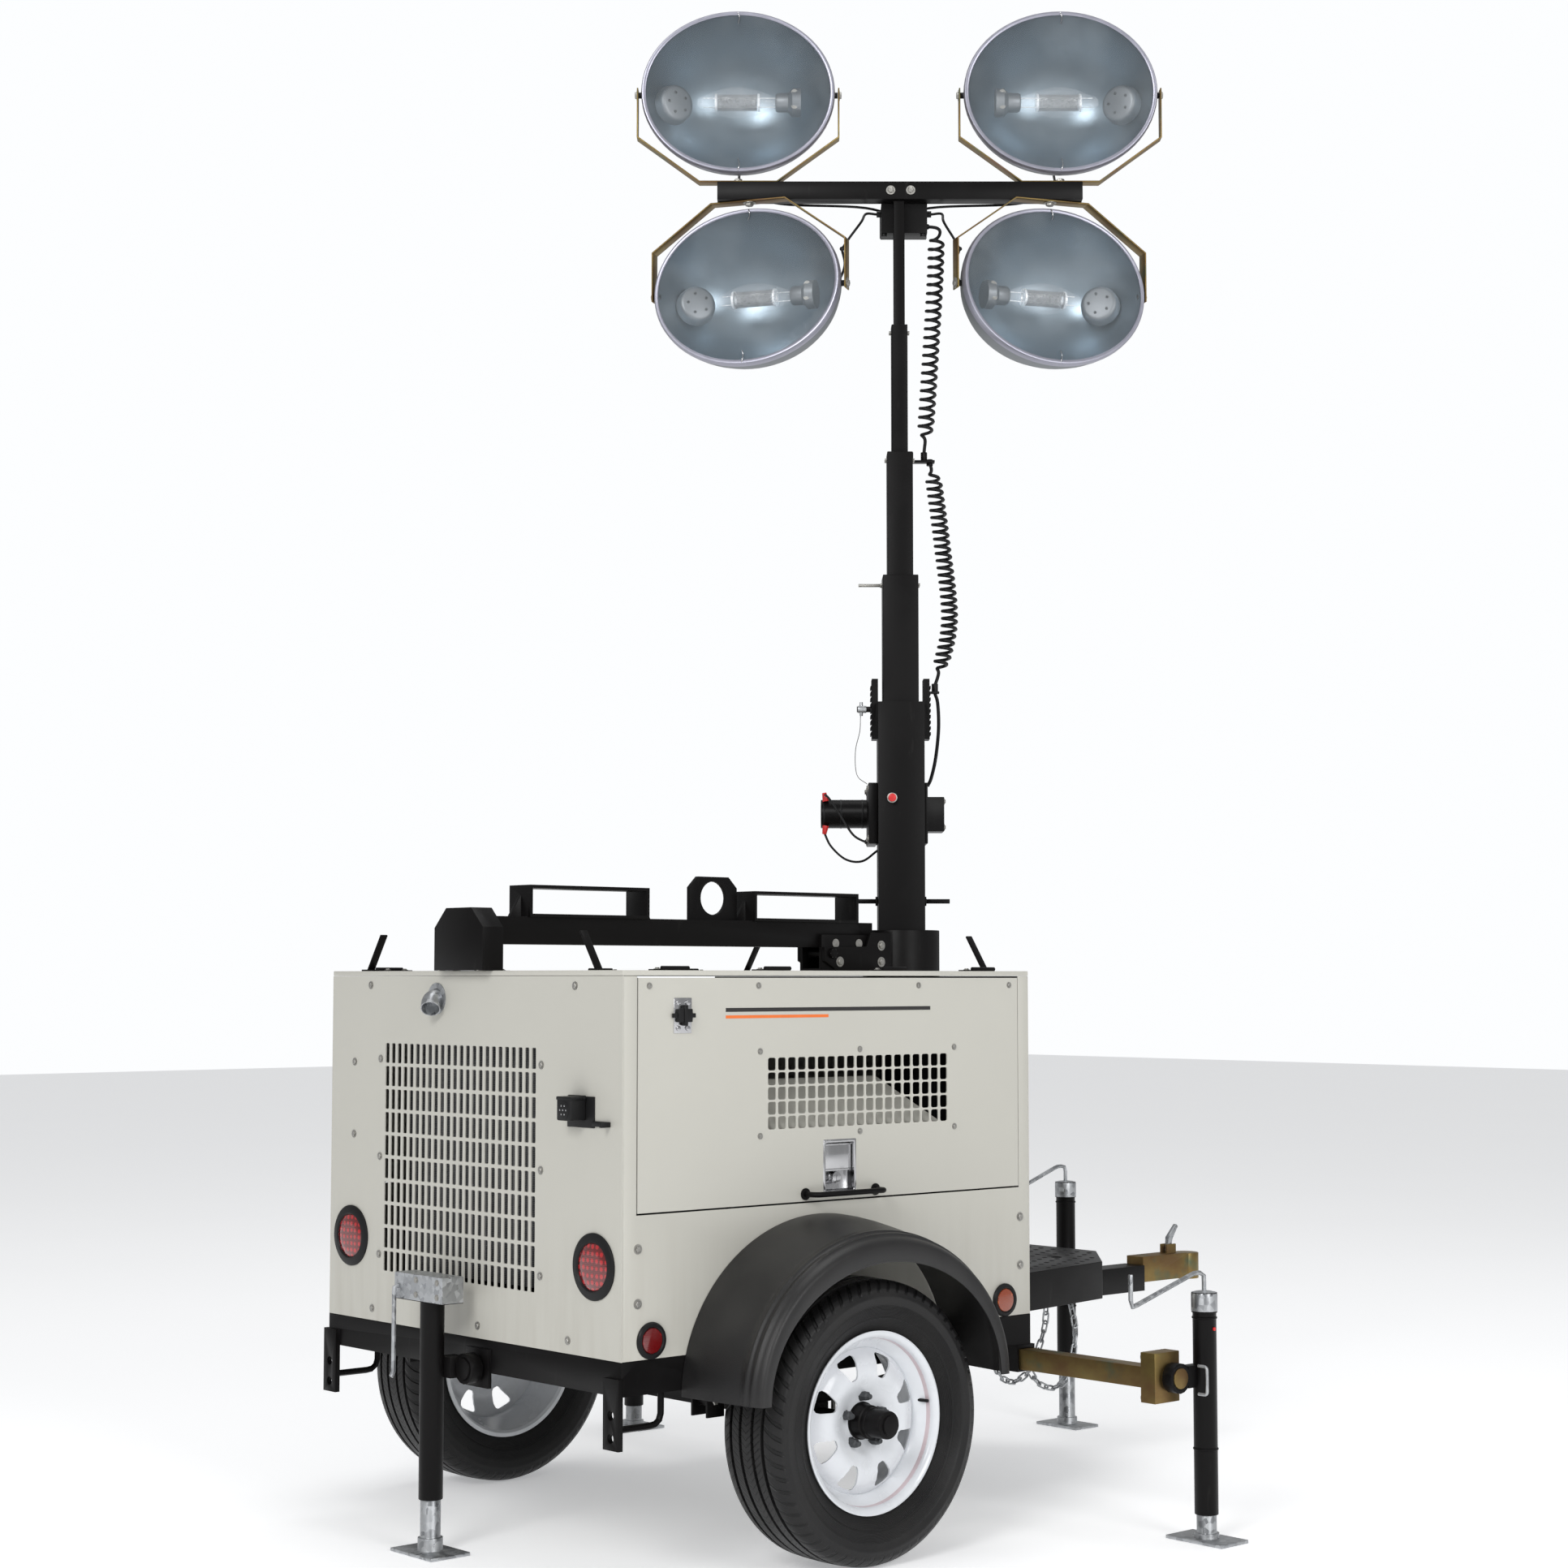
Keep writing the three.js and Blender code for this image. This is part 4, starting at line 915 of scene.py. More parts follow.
def pierced_sheet(name, outline, grille, columns, rows, slot, thickness, place):
    """A sheet with rows of rounded slots. The slot's size is a share of its pitch."""
    (a0, a1, b0, b1), (g0, g1, h0, h1) = outline, grille
    pitch = ((g1 - g0) / columns, (h1 - h0) / rows)
    half = (pitch[0] * slot[0] / 2, pitch[1] * slot[1] / 2)
    corner = min(half) * 0.4
    points, faces = [], []

    def point(a, b):
        points.append(place(a, b))
        return len(points) - 1

    grid = {(i, j): point(g0 + i * pitch[0], h0 + j * pitch[1])
            for i in range(columns + 1) for j in range(rows + 1)}
    turns = ((-1, -1, 180), (1, -1, 270), (1, 1, 0), (-1, 1, 90))
    for i in range(columns):
        for j in range(rows):
            middle = (g0 + (i + 0.5) * pitch[0], h0 + (j + 0.5) * pitch[1])
            outer = (grid[i, j], grid[i + 1, j], grid[i + 1, j + 1], grid[i, j + 1])
            arcs = []
            for side_a, side_b, start in turns:
                angles = [math.radians(start + 45 * k) for k in range(3)]
                arcs.append([point(
                    middle[0] + side_a * (half[0] - corner) + corner * math.cos(angle),
                    middle[1] + side_b * (half[1] - corner) + corner * math.sin(angle))
                    for angle in angles])
            for k in range(4):
                after = (k + 1) % 4
                faces.append((outer[k], arcs[k][1], arcs[k][0]))
                faces.append((outer[k], arcs[k][2], arcs[k][1]))
                faces.append((outer[k], outer[after], arcs[after][0], arcs[k][2]))
    rim = [point(a0, b0), point(a1, b0), point(a1, b1), point(a0, b1)]
    low = [grid[i, 0] for i in range(columns + 1)]
    right = [grid[columns, j] for j in range(rows + 1)]
    high = [grid[i, rows] for i in range(columns, -1, -1)]
    left = [grid[0, j] for j in range(rows, -1, -1)]
    for k, edge in enumerate((low, right, high, left)):
        faces.append((rim[k], rim[(k + 1) % 4], *reversed(edge)))
    piece = raw_piece(name, points, faces)
    clean(piece)
    modify(piece, "SOLIDIFY", thickness=thickness, offset=0)
    return flat(clean(piece))


class TOWER_OT_cabinet(bpy.types.Operator):
    """Adds the cabinet's shell, its rear panel, its roof and its doors"""

    bl_idname = "tower.cabinet"
    bl_label = "Add Cabinet"

    def execute(self, context):
        cabinet = context.scene.tower_cabinet
        fit(refined("cabinet_shell", "cabinet_sheet", 0.0015), "trailer", "cabinet paint")
        fit(refined("roof_panel", "roof_sheet", 0.003, 3), "trailer", "cabinet paint")
        low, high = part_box("rear_panel")
        middle = (low.x + high.x) / 2
        panel = pierced_sheet(
            "rear_sheet", (low.y, high.y, low.z, high.z), (-0.278, 0.356, 0.617, 1.183),
            cabinet.rear_columns, cabinet.rear_rows, (0.62, 0.86), high.x - low.x,
            lambda a, b: (middle, a, b))
        cut(panel, *[rod("hole", at(-0.01, y, z), at(0.01, y, z), radius, 0) for y, z, radius in (
            (0.496, 0.697, 0.062), (-0.496, 0.697, 0.062), (0.13, 1.29, 0.03))])
        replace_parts(fit(flat(panel), "trailer", "cabinet paint"), "rear_panel")
        for name, side in SIDES:
            self.door(context, name, side)
        return {"FINISHED"}

    def door(self, context, name, side):
        cabinet, body = context.scene.tower_cabinet, f"door_{name}"
        x0, x1, z0, z1, hem = 0.0435, 1.2705, 0.818, 1.340, 0.003
        face, skin, back = side * SIDE_FACE, side * 0.592, side * 0.573
        sheet = pierced_sheet(
            "sheet", (x0, x1, z0, z1), (0.426, 1.021, 0.987, 1.157),
            cabinet.door_columns, cabinet.door_rows, (0.79, 0.87), 0.003,
            lambda a, b: at(a, side * 0.5935, b))
        cut(sheet, block("hole", at(0.604, face + side * 0.02, 0.831),
                         at(0.708, face - side * 0.03, 0.958), 0.004))
        hems = [block("hem", at(left, skin, low), at(right, back, high), 0.0005)
                for left, low, right, high in (
                    (x0, z0, x1, z0 + hem), (x0, z1 - hem, x1, z1),
                    (x0, z0 + hem, x0 + hem, z1 - hem), (x1 - hem, z0 + hem, x1, z1 - hem))]
        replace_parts(fit(flat(join(f"door_sheet_{name}", [sheet, *hems])), body, "cabinet paint"),
                    body)
        tray = block("tray", at(0.602, face + side * 0.0012, 0.829),
                     at(0.710, face - side * 0.028, 0.960), 0.003)
        cut(tray, block("well", at(0.610, face + side * 0.01, 0.838),
                        at(0.702, face - side * 0.024, 0.951), 0.004))
        lock = [rod("lock", at(0.656, face - side * 0.026, 0.868),
                    at(0.656, face - side * 0.010, 0.868), 0.014),
                block("key", at(0.6545, face - side * 0.0115, 0.860),
                      at(0.6575, face - side * 0.0085, 0.876), 0.0005)]
        fit(join(f"latch_tray_{name}", [bevel(tray, 0.0012), *lock]), body, "bright steel")
        baffle = raw_piece(f"intake_baffle_{name}", [
            at(0.428, side * 0.570, 0.988), at(1.014, side * 0.570, 0.988),
            at(0.905, side * 0.455, 1.098), at(0.428, side * 0.455, 1.098),
            at(0.428, side * 0.440, 1.098), at(0.905, side * 0.440, 1.098)],
            [(0, 1, 2, 3), (3, 2, 5, 4)])
        modify(baffle, "SOLIDIFY", thickness=0.0015, offset=0)
        fit(flat(clean(baffle)), body, "cabinet paint")
        corners = [at(x, face + side * out, 0.835) for x, out in (
            (0.545, -0.002), (0.545, 0.040), (0.771, 0.040), (0.771, -0.002))]
        bar = join(f"grab_bar_{name}", [
            pipe("bar", bends(corners, 0.018), 0.0066),
            *[rod("foot", at(x, face, 0.835), at(x, face + side * 0.004, 0.835), 0.014)
              for x in (0.545, 0.771)]])
        fit(bar, body, "black coat")
        grilles = [at(x, face, z) for x in (0.405, 0.722, 1.042) for z in (0.975, 1.170)]
        edges = [at(x, face, 1.322) for x in (0.075, 0.40, 0.92, 1.24)]
        fit_bolts(body, f"door_screws_{name}", grilles + edges, (0, side, 0), 0.005, 0.0032)
        self.paddle(name, side)

    def paddle(self, name, side):
        face = side * SIDE_FACE
        parts = [
            block("paddle", at(0.614, face - side * 0.010, 0.888),
                  at(0.698, face - side * 0.006, 0.946), 0.0015),
            block("lip", at(0.614, face - side * 0.010, 0.884),
                  at(0.698, face - side * 0.0055, 0.890), 0.0015),
            rod("pin", at(0.611, face - side * 0.009, 0.946),
                at(0.701, face - side * 0.009, 0.946), 0.0035)]
        piece = join(f"latch_paddle_{name}", parts)
        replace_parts(fit(piece, f"latch_{name}", "bright steel"), f"latch_{name}")


class TOWER_OT_cabinet_fittings(bpy.types.Operator):
    """Adds the lamps, exhaust, plug holder, screws and stripes of the cabinet"""

    bl_idname = "tower.cabinet_fittings"
    bl_label = "Add Cabinet Fittings"

    def execute(self, context):
        rear = -X_AXIS
        for name, side in SIDES:
            self.round_lamp(f"tail_lamp_{name}", at(0, side * 0.496, 0.697), rear, 0.075, 0.053,
                            "red lens")
            for end, x, finish in (("rear", 0.083, "red lens"), ("front", 1.216, "amber lens")):
                self.round_lamp(f"marker_{end}_{name}", at(x, side * SIDE_FACE, 0.537),
                                (0, side, 0), 0.041, 0.029, finish)
        places = [at(0, y, z) for y in (0.372, -0.294) for z in (0.66, 0.90, 1.14)]
        places += [at(0, y, 1.322) for y in (0.42, -0.42)]
        places += [at(0, 0.49, z) for z in (0.95, 1.13)]
        places += [at(0, y, 0.525) for y in (0.40, -0.05, -0.40)]
        fit_bolts("trailer", "rear_screws", places, rear, context.scene.tower_cabinet.bolt_radius,
                  0.0045)
        for name, side in reversed(SIDES):
            places = [at(x, side * SIDE_FACE, z) for x in (0.045, 1.275) for z in (0.62, 0.74)]
            fit_bolts("trailer", f"side_screws_{name}", places, (0, side, 0), 0.0075, 0.005)
        self.exhaust()
        self.plug_holder()
        self.stripes()
        self.roof_fittings()
        return {"FINISHED"}

    def round_lamp(self, name, place, way, radius, lens, finish):
        turn = Matrix.Translation(place) @ toward(way)
        grommet = lathe(f"{name}_grommet", [
            (lens - 0.002, -0.010), (radius * 0.84, -0.010), (radius * 0.84, 0), (radius, 0.0005),
            (radius, 0.0035), (radius * 0.93, 0.0075), (lens + 0.003, 0.0085), (lens, 0.006),
            (lens - 0.002, 0.002)], 64, closed=True, place=turn)
        fit(grommet, "trailer", "black plastic")
        dome = lathe(f"{name}_lens", [
            (lens, -0.009), (lens, 0.004), (lens * 0.94, 0.0066), (lens * 0.6, 0.0082),
            (0, 0.0088)], 64, place=turn)
        fit(dome, "trailer", finish)

    def exhaust(self):
        route = flowing([at(0.035, 0.130, 1.290), at(0.002, 0.130, 1.290), at(-0.020, 0.122, 1.284),
                         at(-0.034, 0.108, 1.266)], 8)
        outside = pipe("exhaust_elbow", route, 0.024, 8)
        way = (route[-1] - route[-2]).normalized()
        cut(outside, rod("bore", route[-1] - way * 0.03, route[-1] + way * 0.01, 0.0215, 0))
        collar = turned("collar", [(24.5, 0), (38, 0), (38, 2), (24.5, 3)], 48, True,
                        Matrix.Translation(at(0, 0.13, 1.29)) @ toward((-1, 0, 0)))
        fit(join("exhaust_elbow", [smooth(outside), collar]), "trailer", "galvanised")

    def plug_holder(self):
        y, z = -0.442, 1.044
        parts = [
            block("plate", at(-0.003, y - 0.055, z - 0.040), at(0, y + 0.045, z + 0.030), 0.001),
            block("body", at(-0.048, y - 0.026, z - 0.024), at(-0.003, y + 0.026, z + 0.026),
                  0.004, 3),
            block("lid", at(-0.048, y - 0.028, z + 0.022), at(-0.012, y + 0.028, z + 0.030), 0.002),
            rod("hinge", at(-0.010, y - 0.03, z + 0.028), at(-0.010, y + 0.03, z + 0.028), 0.0045),
            rod("mouth", at(-0.049, y, z), at(-0.040, y, z), 0.021),
            block("arm", at(-0.006, y - 0.110, z - 0.036), at(0, y - 0.050, z - 0.024), 0.001),
            block("hook", at(-0.028, y - 0.112, z - 0.036), at(0, y - 0.104, z - 0.024), 0.002)]
        fit(join("plug_holder", parts), "trailer", "black plastic")
        pins = [at(-0.0492, y + a, z + b) for a, b in (*circle(0.011, 6), (0, 0))]
        fit(bolts("plug_pins", pins, -X_AXIS, 0.0022, 0.0008, False), "trailer", "bright steel")

    def stripes(self):
        for name, side in SIDES:
            body, face = f"door_{name}", side * 0.5951
            for tint, finish, end, low, high in (("dark", "charcoal decal", 0.960, 1.262, 1.271),
                                                 ("orange", "orange decal", 0.620, 1.247, 1.254)):
                stripe = block(f"stripe_{tint}_{name}", at(0.300, face, low),
                               at(end, face + side * 0.0003, high), 0)
                fit(stripe, body, finish)
            plate = [block("plate", at(0.145, side * SIDE_FACE, 1.215),
                           at(0.197, side * 0.597, 1.295), 0.001)]
            plate += [rod("stud", at(x, side * 0.597, z), at(x, side * 0.6005, z), 0.006)
                      for z in (1.226, 1.284) for x in (0.157, 0.185)]
            fit(join(f"door_hasp_plate_{name}", plate), body, "bright steel")
            hasp = [block("hasp", at(x0, side * y0, z0), at(x1, side * y1, z1), edge)
                    for x0, y0, z0, x1, y1, z1, edge in (
                        (0.150, 0.597, 1.240, 0.192, 0.608, 1.270, 0.002),
                        (0.166, 0.597, 1.232, 0.176, 0.611, 1.279, 0.002),
                        (0.138, 0.598, 1.250, 0.204, 0.604, 1.260, 0.001))]
            fit(join(f"door_hasp_{name}", hasp), body, "black plastic")

    def roof_fittings(self):
        stays, hinges = [], []
        for x in (0.030, 1.285):
            for _, side in SIDES:
                foot, tip = at(x, side * 0.47, ROOF), at(x, side * 0.41, ROOF + 0.090)
                way = (tip - foot).normalized()
                turn = Matrix.Rotation(math.atan2(-way.y, way.z), 4, "X")
                stay = block("stay", (-0.010, -0.0025, 0), (0.010, 0.0025, (tip - foot).length))
                stay.data.transform(Matrix.Translation(foot) @ turn)
                stays += [stay, block("foot", foot + Vector((-0.014, -0.020, 0)),
                                      foot + Vector((0.014, 0.020, 0.004)))]
        for _, side in SIDES:
            for x in HINGE_PLACES:
                hinges.append(rod("knuckle", at(x - 0.04, side * 0.582, ROOF + 0.005),
                                  at(x + 0.04, side * 0.582, ROOF + 0.005), 0.005))
                hinges.append(block("leaf", at(x - 0.04, side * 0.582, ROOF),
                                    at(x + 0.04, side * 0.535, ROOF + 0.003), 0.0006))
        fit(join("roof_stays", stays), "trailer", "black coat")
        fit(join("roof_hinges", hinges), "trailer", "black coat")
        places = [at(x + dx, side * 0.55, ROOF + 0.003) for x in HINGE_PLACES
                  for dx in (-0.026, 0.026) for _, side in SIDES]
        fit_bolts("trailer", "roof_bolts", places, Z_AXIS, 0.0055, 0.004)


# ------------------------------------------------------------------ wheels and chassis


def wheel_matrix(name, side):
    return Matrix.Translation(pivot(f"wheel_{name}_spin")) @ Matrix.Rotation(
        math.radians(-90 * side), 4, "X")


def mirrored(profile):
    return [(r, -z) for r, z in reversed(profile)]


class TOWER_OT_wheels(bpy.types.Operator):
    """Adds the wheels: tyres with grooves, pierced rims, hubs and lug nuts"""

    bl_idname = "tower.wheels"
    bl_label = "Add Wheels"

    def execute(self, context):
        for name, side in SIDES:
            place = wheel_matrix(name, side)
            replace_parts(fit(self.tyre(place, name), f"wheel_{name}", "tyre rubber"), f"tyre_{name}")
            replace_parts(fit(self.rim(place, name, context), f"wheel_{name}", "rim paint"),
                        f"wheel_rim_{name}")
            self.hub(place, name, context)
        return {"FINISHED"}

    def tyre(self, place, name):
        half = [(198, 40), (197, 66), (203, 71), (211, 71), (222, 78), (236, 88), (238, 90),
                (242, 90), (244, 91.5), (262, 96.5), (282, 97.4), (284, 98), (288, 98), (290, 97),
                (300, 95), (304, 94), (306, 92.5), (313, 87), (319, 80), (322.5, 70), (323.4, 58),
                (316.5, 57), (316.5, 49), (324.1, 48), (324.8, 25), (317.5, 24), (317.5, 16),
                (325, 15)]
        inner = [(318, -6), (312, -60), (300, -86), (262, -90), (226, -74), (204, -66), (198, -58)]
        ring = half + mirrored(half) + inner + mirrored(inner)
        return turned(f"tyre_tread_{name}", ring, 128, True, place, 28)

    def rim(self, place, name, context):
        barrel = turned("barrel", [
            (208, 77), (208, 74), (202, 73), (197, 70), (195.5, 66), (194, 50), (172, 31),
            (170, 26), (170, -5), (195, -50), (196, -70), (208, -74), (208, -77), (198, -77),
            (192, -71), (190, -52), (166, -6), (166, 28), (168, 33), (189, 52), (191, 66),
            (193, 71), (199, 76), (204, 78)], 96, True)
        face = [(30, 31), (46, 31), (58, 33), (72, 39), (90, 48), (104, 52), (120, 52.5), (138, 48),
                (154, 38), (162, 30), (168, 26)]
        disc = turned("disc", face + [(r, z - 5) for r, z in reversed(face)], 96, True)
        count = context.scene.tower_running.windows
        outline = [(104, 7), (109, 12), (142, 25), (151, 26), (156, 21), (157, 10)]
        outline += [(x, -y) for x, y in reversed(outline)]
        cutters = []
        for k in range(count):
            turn = Matrix.Rotation(2 * math.pi * (k + 0.5) / count, 4, "Z")
            rings = [[turn @ Vector((x / 1000, y / 1000, z)) for x, y in outline]
                     for z in (0.010, 0.070)]
            cutters.append(clean(skin_rings("cutter", rings, (True, True))))
        cut(disc, *cutters)
        bevel(disc, 0.0012, 2, 50)
        piece = join(f"rim_{name}", [barrel, disc])
        piece.data.transform(place)
        return smooth(piece, 40)

    def hub(self, place, name, context):
        running = context.scene.tower_running
        cap = turned(f"hub_{name}", [
            (0, 132), (20, 132), (23, 130.5), (23, 124), (31, 122), (32, 119), (32, 74), (34, 72),
            (34, 62), (38, 60), (40, 34), (43, 33.5), (43, 10), (0, 10)], 64, False, place)
        fit(cap, f"wheel_{name}", "black coat")
        nut = turned("nut", [(0, 20), (7, 20), (10.5, 17), (11, 0), (14, -2), (0, -2)], 6, angle=20)
        stud = turned("stud", [(0, 27), (5.5, 27), (6, 26), (6, 0)], 24)
        master = join("lug", [nut, stud])
        lugs = [copy_at(master, "lug", place @ Matrix.Translation((x, y, 0.034)))
                for x, y in circle(running.lug_circle / 2, running.lugs, 0.3)]
        discard(master)
        fit(join(f"lug_nuts_{name}", lugs), f"wheel_{name}", "cast iron")
        valve = rod(f"valve_{name}", place @ Vector((0.176, 0.03, 0.036)),
                    place @ Vector((0.181, 0.03, 0.066)), 0.004)
        fit(valve, f"wheel_{name}", "black plastic")


class TOWER_OT_chassis(bpy.types.Operator):
    """Adds the chassis, axle, fenders, tongue, deck, coupler, outriggers and chains"""

    bl_idname = "tower.chassis"
    bl_label = "Add Chassis"

    def execute(self, context):
        fit(refined("chassis_frame", "frame_rails", 0.002), "trailer", "black coat")
        fit(refined("tongue_beam", "tongue", 0.002), "trailer", "black coat")
        fit(refined("tongue_deck", "deck", 0.002), "trailer", "black coat")
        fit(refined("axle_assembly", "axle", 0.0015), "trailer", "black coat")
        fit(refined("coupler", "coupler_body", 0.002), "trailer", "yellow zinc")
        fit(refined("coupler_latch", "coupler_lever", 0.0012), "coupler_latch", "galvanised")
        for name, side in SIDES:
            self.fender(name, side)
            beam = refined(f"outrigger_beam_{name}", f"outrigger_{name}", 0.002)
            fit(beam, f"outrigger_{name}", "yellow zinc")
            plate = [at(x, side * 1.0105, z) for x in (1.262, 1.328) for z in (0.340, 0.436)]
            fit_bolts(f"outrigger_{name}", f"outrigger_bolts_{name}", plate, (0, -side, 0), 0.008,
                      0.006)
            hangers = [at(AXLE + reach, side * 0.593, 0.386) for reach in (-0.32, 0.32)]
            fit_bolts("trailer", f"spring_bolts_{name}", hangers, (0, side, 0), 0.010, 0.008)
            self.u_bolts(name, side)
        self.deck_bumps()
        self.chains()
        return {"FINISHED"}

    def fender(self, name, side):
        section = [(597, 383), (628, 381.5), (660, 378), (700, 371.5), (740, 364), (770, 358),
                   (786, 355), (789, 357.5), (795, 357), (798, 352), (806, 350), (809, 352.5),
                   (815, 351.5), (818, 346), (826, 343), (833, 338.5), (838, 333), (840, 326),
                   (840, 292), (838, 288), (835, 288)]
        lining = [(r - 4, rise - 1) if r > 830 else (r, rise - 5) for r, rise in section[:-3]]
        ring = section + [(836, 300)] + lining[::-1]
        steps, rings = 56, []
        for i in range(steps + 1):
            angle = math.pi * i / steps
            rings.append([at(AXLE + (388 + (rise - 331) * 0.6) * math.cos(angle) / 1000,
                             side * out / 1000, 0.405 + rise * math.sin(angle) / 1000)
                          for out, rise in ring])
        shell = skin_rings(f"fender_shell_{name}", rings, (True, True))
        piece = smooth(clean(shell, 1e-6), 50)
        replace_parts(fit(piece, "trailer", "fender plastic"), f"fender_{name}")

    def u_bolts(self, name, side):
        parts = []
        for dx in (-0.045, 0.045):
            corners = [at(AXLE + dx, side * y, z) for y, z in
                       ((0.545, 0.300), (0.545, 0.386), (0.595, 0.386), (0.595, 0.300))]
            parts.append(pipe("u", bends(corners, 0.012), 0.0055, 2))
        fit(join(f"u_bolts_{name}", parts), "trailer", "bolt steel")

    def deck_bumps(self):
        bump = turned("bump", [(0, 2.2), (4.5, 2.0), (8, 0.9), (9.5, -0.3)], 12)
        spots = []
        for i in range(15):
            for j in range(-8, 9):
                x, y = 1.350 + i * 0.046, j * 0.046 + (0.023 if i % 2 else 0)
                limit = 0.43 - (x - 1.312) * 0.155 if x < 1.85 else 0.345 - (x - 1.85) * 0.98
                clear = all(math.hypot(x - hx, y - hy) > 0.032 for hx, hy in DECK_HOLES)
                if abs(y) < limit and clear and x < 2.03:
                    spots.append(at(x, y, 0.5695))
        rim = turned("rim", [(15.5, -4), (15.5, 1.4), (18.5, 1.4), (19.5, 0)], 28)
        copies = [copy_at(bump, "bump", Matrix.Translation(spot)) for spot in spots]
        copies += [copy_at(rim, "rim", Matrix.Translation(at(x, y, 0.5685))) for x, y in DECK_HOLES]
        discard(bump, rim)
        fit(join("deck_tread", copies), "trailer", "black coat")

    def chains(self):
        for name, side in SIDES:
            route = flowing([at(2.06, side * 0.043, 0.440), at(2.07, side * 0.060, 0.330),
                             at(2.02, side * 0.075, 0.215), at(1.94, side * 0.075, 0.190),
                             at(1.87, side * 0.065, 0.250), at(1.845, side * 0.046, 0.415)], 24)
            lap, link = laps(route), self.link()
            count = int(lap[-1] / 0.0265)
            copies = []
            for k in range(count + 1):
                want = lap[-1] * k / count
                i = max(1, next(n for n, value in enumerate(lap) if value >= want - 1e-9))
                spot = route[i - 1].lerp(route[i], (want - lap[i - 1]) / (lap[i] - lap[i - 1]))
                way = (route[i] - route[i - 1]).normalized()
                turn = way.to_track_quat("X", "Y").to_matrix().to_4x4()
                roll = Matrix.Rotation(math.radians(45 + 90 * (k % 2)), 4, "X")
                copies.append(copy_at(link, "link", Matrix.Translation(spot) @ turn @ roll))
            discard(link)
            fit(join(f"safety_chain_{name}", copies), "trailer", "galvanised")

    def link(self):
        points = [Vector((side * 0.0105 + 0.0075 * math.cos(a), 0.0075 * math.sin(a), 0))
                  for side, start in ((1, -90), (-1, 90))
                  for a in [math.radians(start + 30 * k) for k in range(7)]]
        return pipe("link", points + [points[0], points[1]], 0.0028, 1)


# ------------------------------------------------------------------ jacks


class TOWER_OT_jacks(bpy.types.Operator):
    """Adds the four jacks with their cranks, rams, feet and lock pins"""

    bl_idname = "tower.jacks"
    bl_label = "Add Jacks"

    def execute(self, context):
        for name in ("left", "right", "rear", "tongue"):
            body = f"{name}_jack"
            tube = refined(f"{body}_tube", f"{name}_tube", 0.0018)
            if name == "rear":
                self.rear_head(tube)
            fit(tube, body, "black coat")
            fit(refined(f"{body}_ram", f"{name}_ram", 0.0018), f"{body}_ram", "galvanised")
            fit(refined(f"{body}_crank", f"{name}_crank", 0.0008), f"{body}_crank", "galvanised")
        for name, x, y, head in (("left", 1.384, 1.097, 0.587), ("right", 1.384, -1.097, 0.587),
                                 ("tongue", 2.365, 0.242, 0.726)):
            self.top_cap(name, x, y, head)
        return {"FINISHED"}

    def top_cap(self, name, x, y, head):
        cap = turned(f"{name}_cap", [
            (31.6, -44), (31.6, -4), (30, 0), (20, 2.5), (8, 3.5), (0, 3.5)], 48,
            place=Matrix.Translation(at(x, y, head)))
        rings = [turned("ring", [(28.6, -3), (30.4, -1.5), (30.4, 1.5), (28.6, 3)], 48, True,
                       Matrix.Translation(at(x, y, head - drop))) for drop in (0.060, 0.37)]
        fit(cap, f"{name}_jack", "galvanised")
        fit(join(f"{name}_weld_rings", rings), f"{name}_jack", "black coat")
        out = math.copysign(1, y)
        button = [at(x, y + out * 0.0285, head - 0.085)]
        fit(bolts(f"{name}_grease_plug", button, (0, out, 0), 0.0045, 0.004, False), f"{name}_jack",
            "red cap")
        self.pin(name, y, out)

    def pin(self, name, y, out):
        """The ring that locks the swivel: a bent pin through the pivot's plate."""
        spot = pivot(f"{name}_jack_swivel")
        base = Vector((spot.x + 0.004, y + out * 0.031, spot.z))
        corners = [base + Vector((0.018, out * reach, rise)) for reach, rise in (
            (0, 0.032), (0.026, 0.032), (0.026, -0.034), (0, -0.034))]
        handle = pipe(f"{name}_lock_pin", bends(corners, 0.009, 4), 0.0038, 2)
        fit(handle, f"{name}_jack", "galvanised")

    def rear_head(self, tube):
        """Parts the rear jack's zinc plated gear box from the top of its black tube."""
        low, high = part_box("rear_jack_tube")
        seam, spare = 0.5835, Vector((0.05, 0.05, 0.05))
        head = copy_at(tube, "rear_gear_box", Matrix())
        cut(tube, block("above", (low.x - 0.05, low.y - 0.05, seam), high + spare, 0))
        cut(head, block("below", low - spare, (high.x + 0.05, high.y + 0.05, seam), 0))
        fit(flat(head), "rear_jack", "galvanised")
        places = [Vector((low.x, high.y - dy, z)) for dy in (0.09, 0.176) for z in (0.597, 0.631)]
        fit_bolts("rear_jack", "rear_head_bolts", places, -X_AXIS, 0.005, 0.003)


# ------------------------------------------------------------------ lifting frame and mast


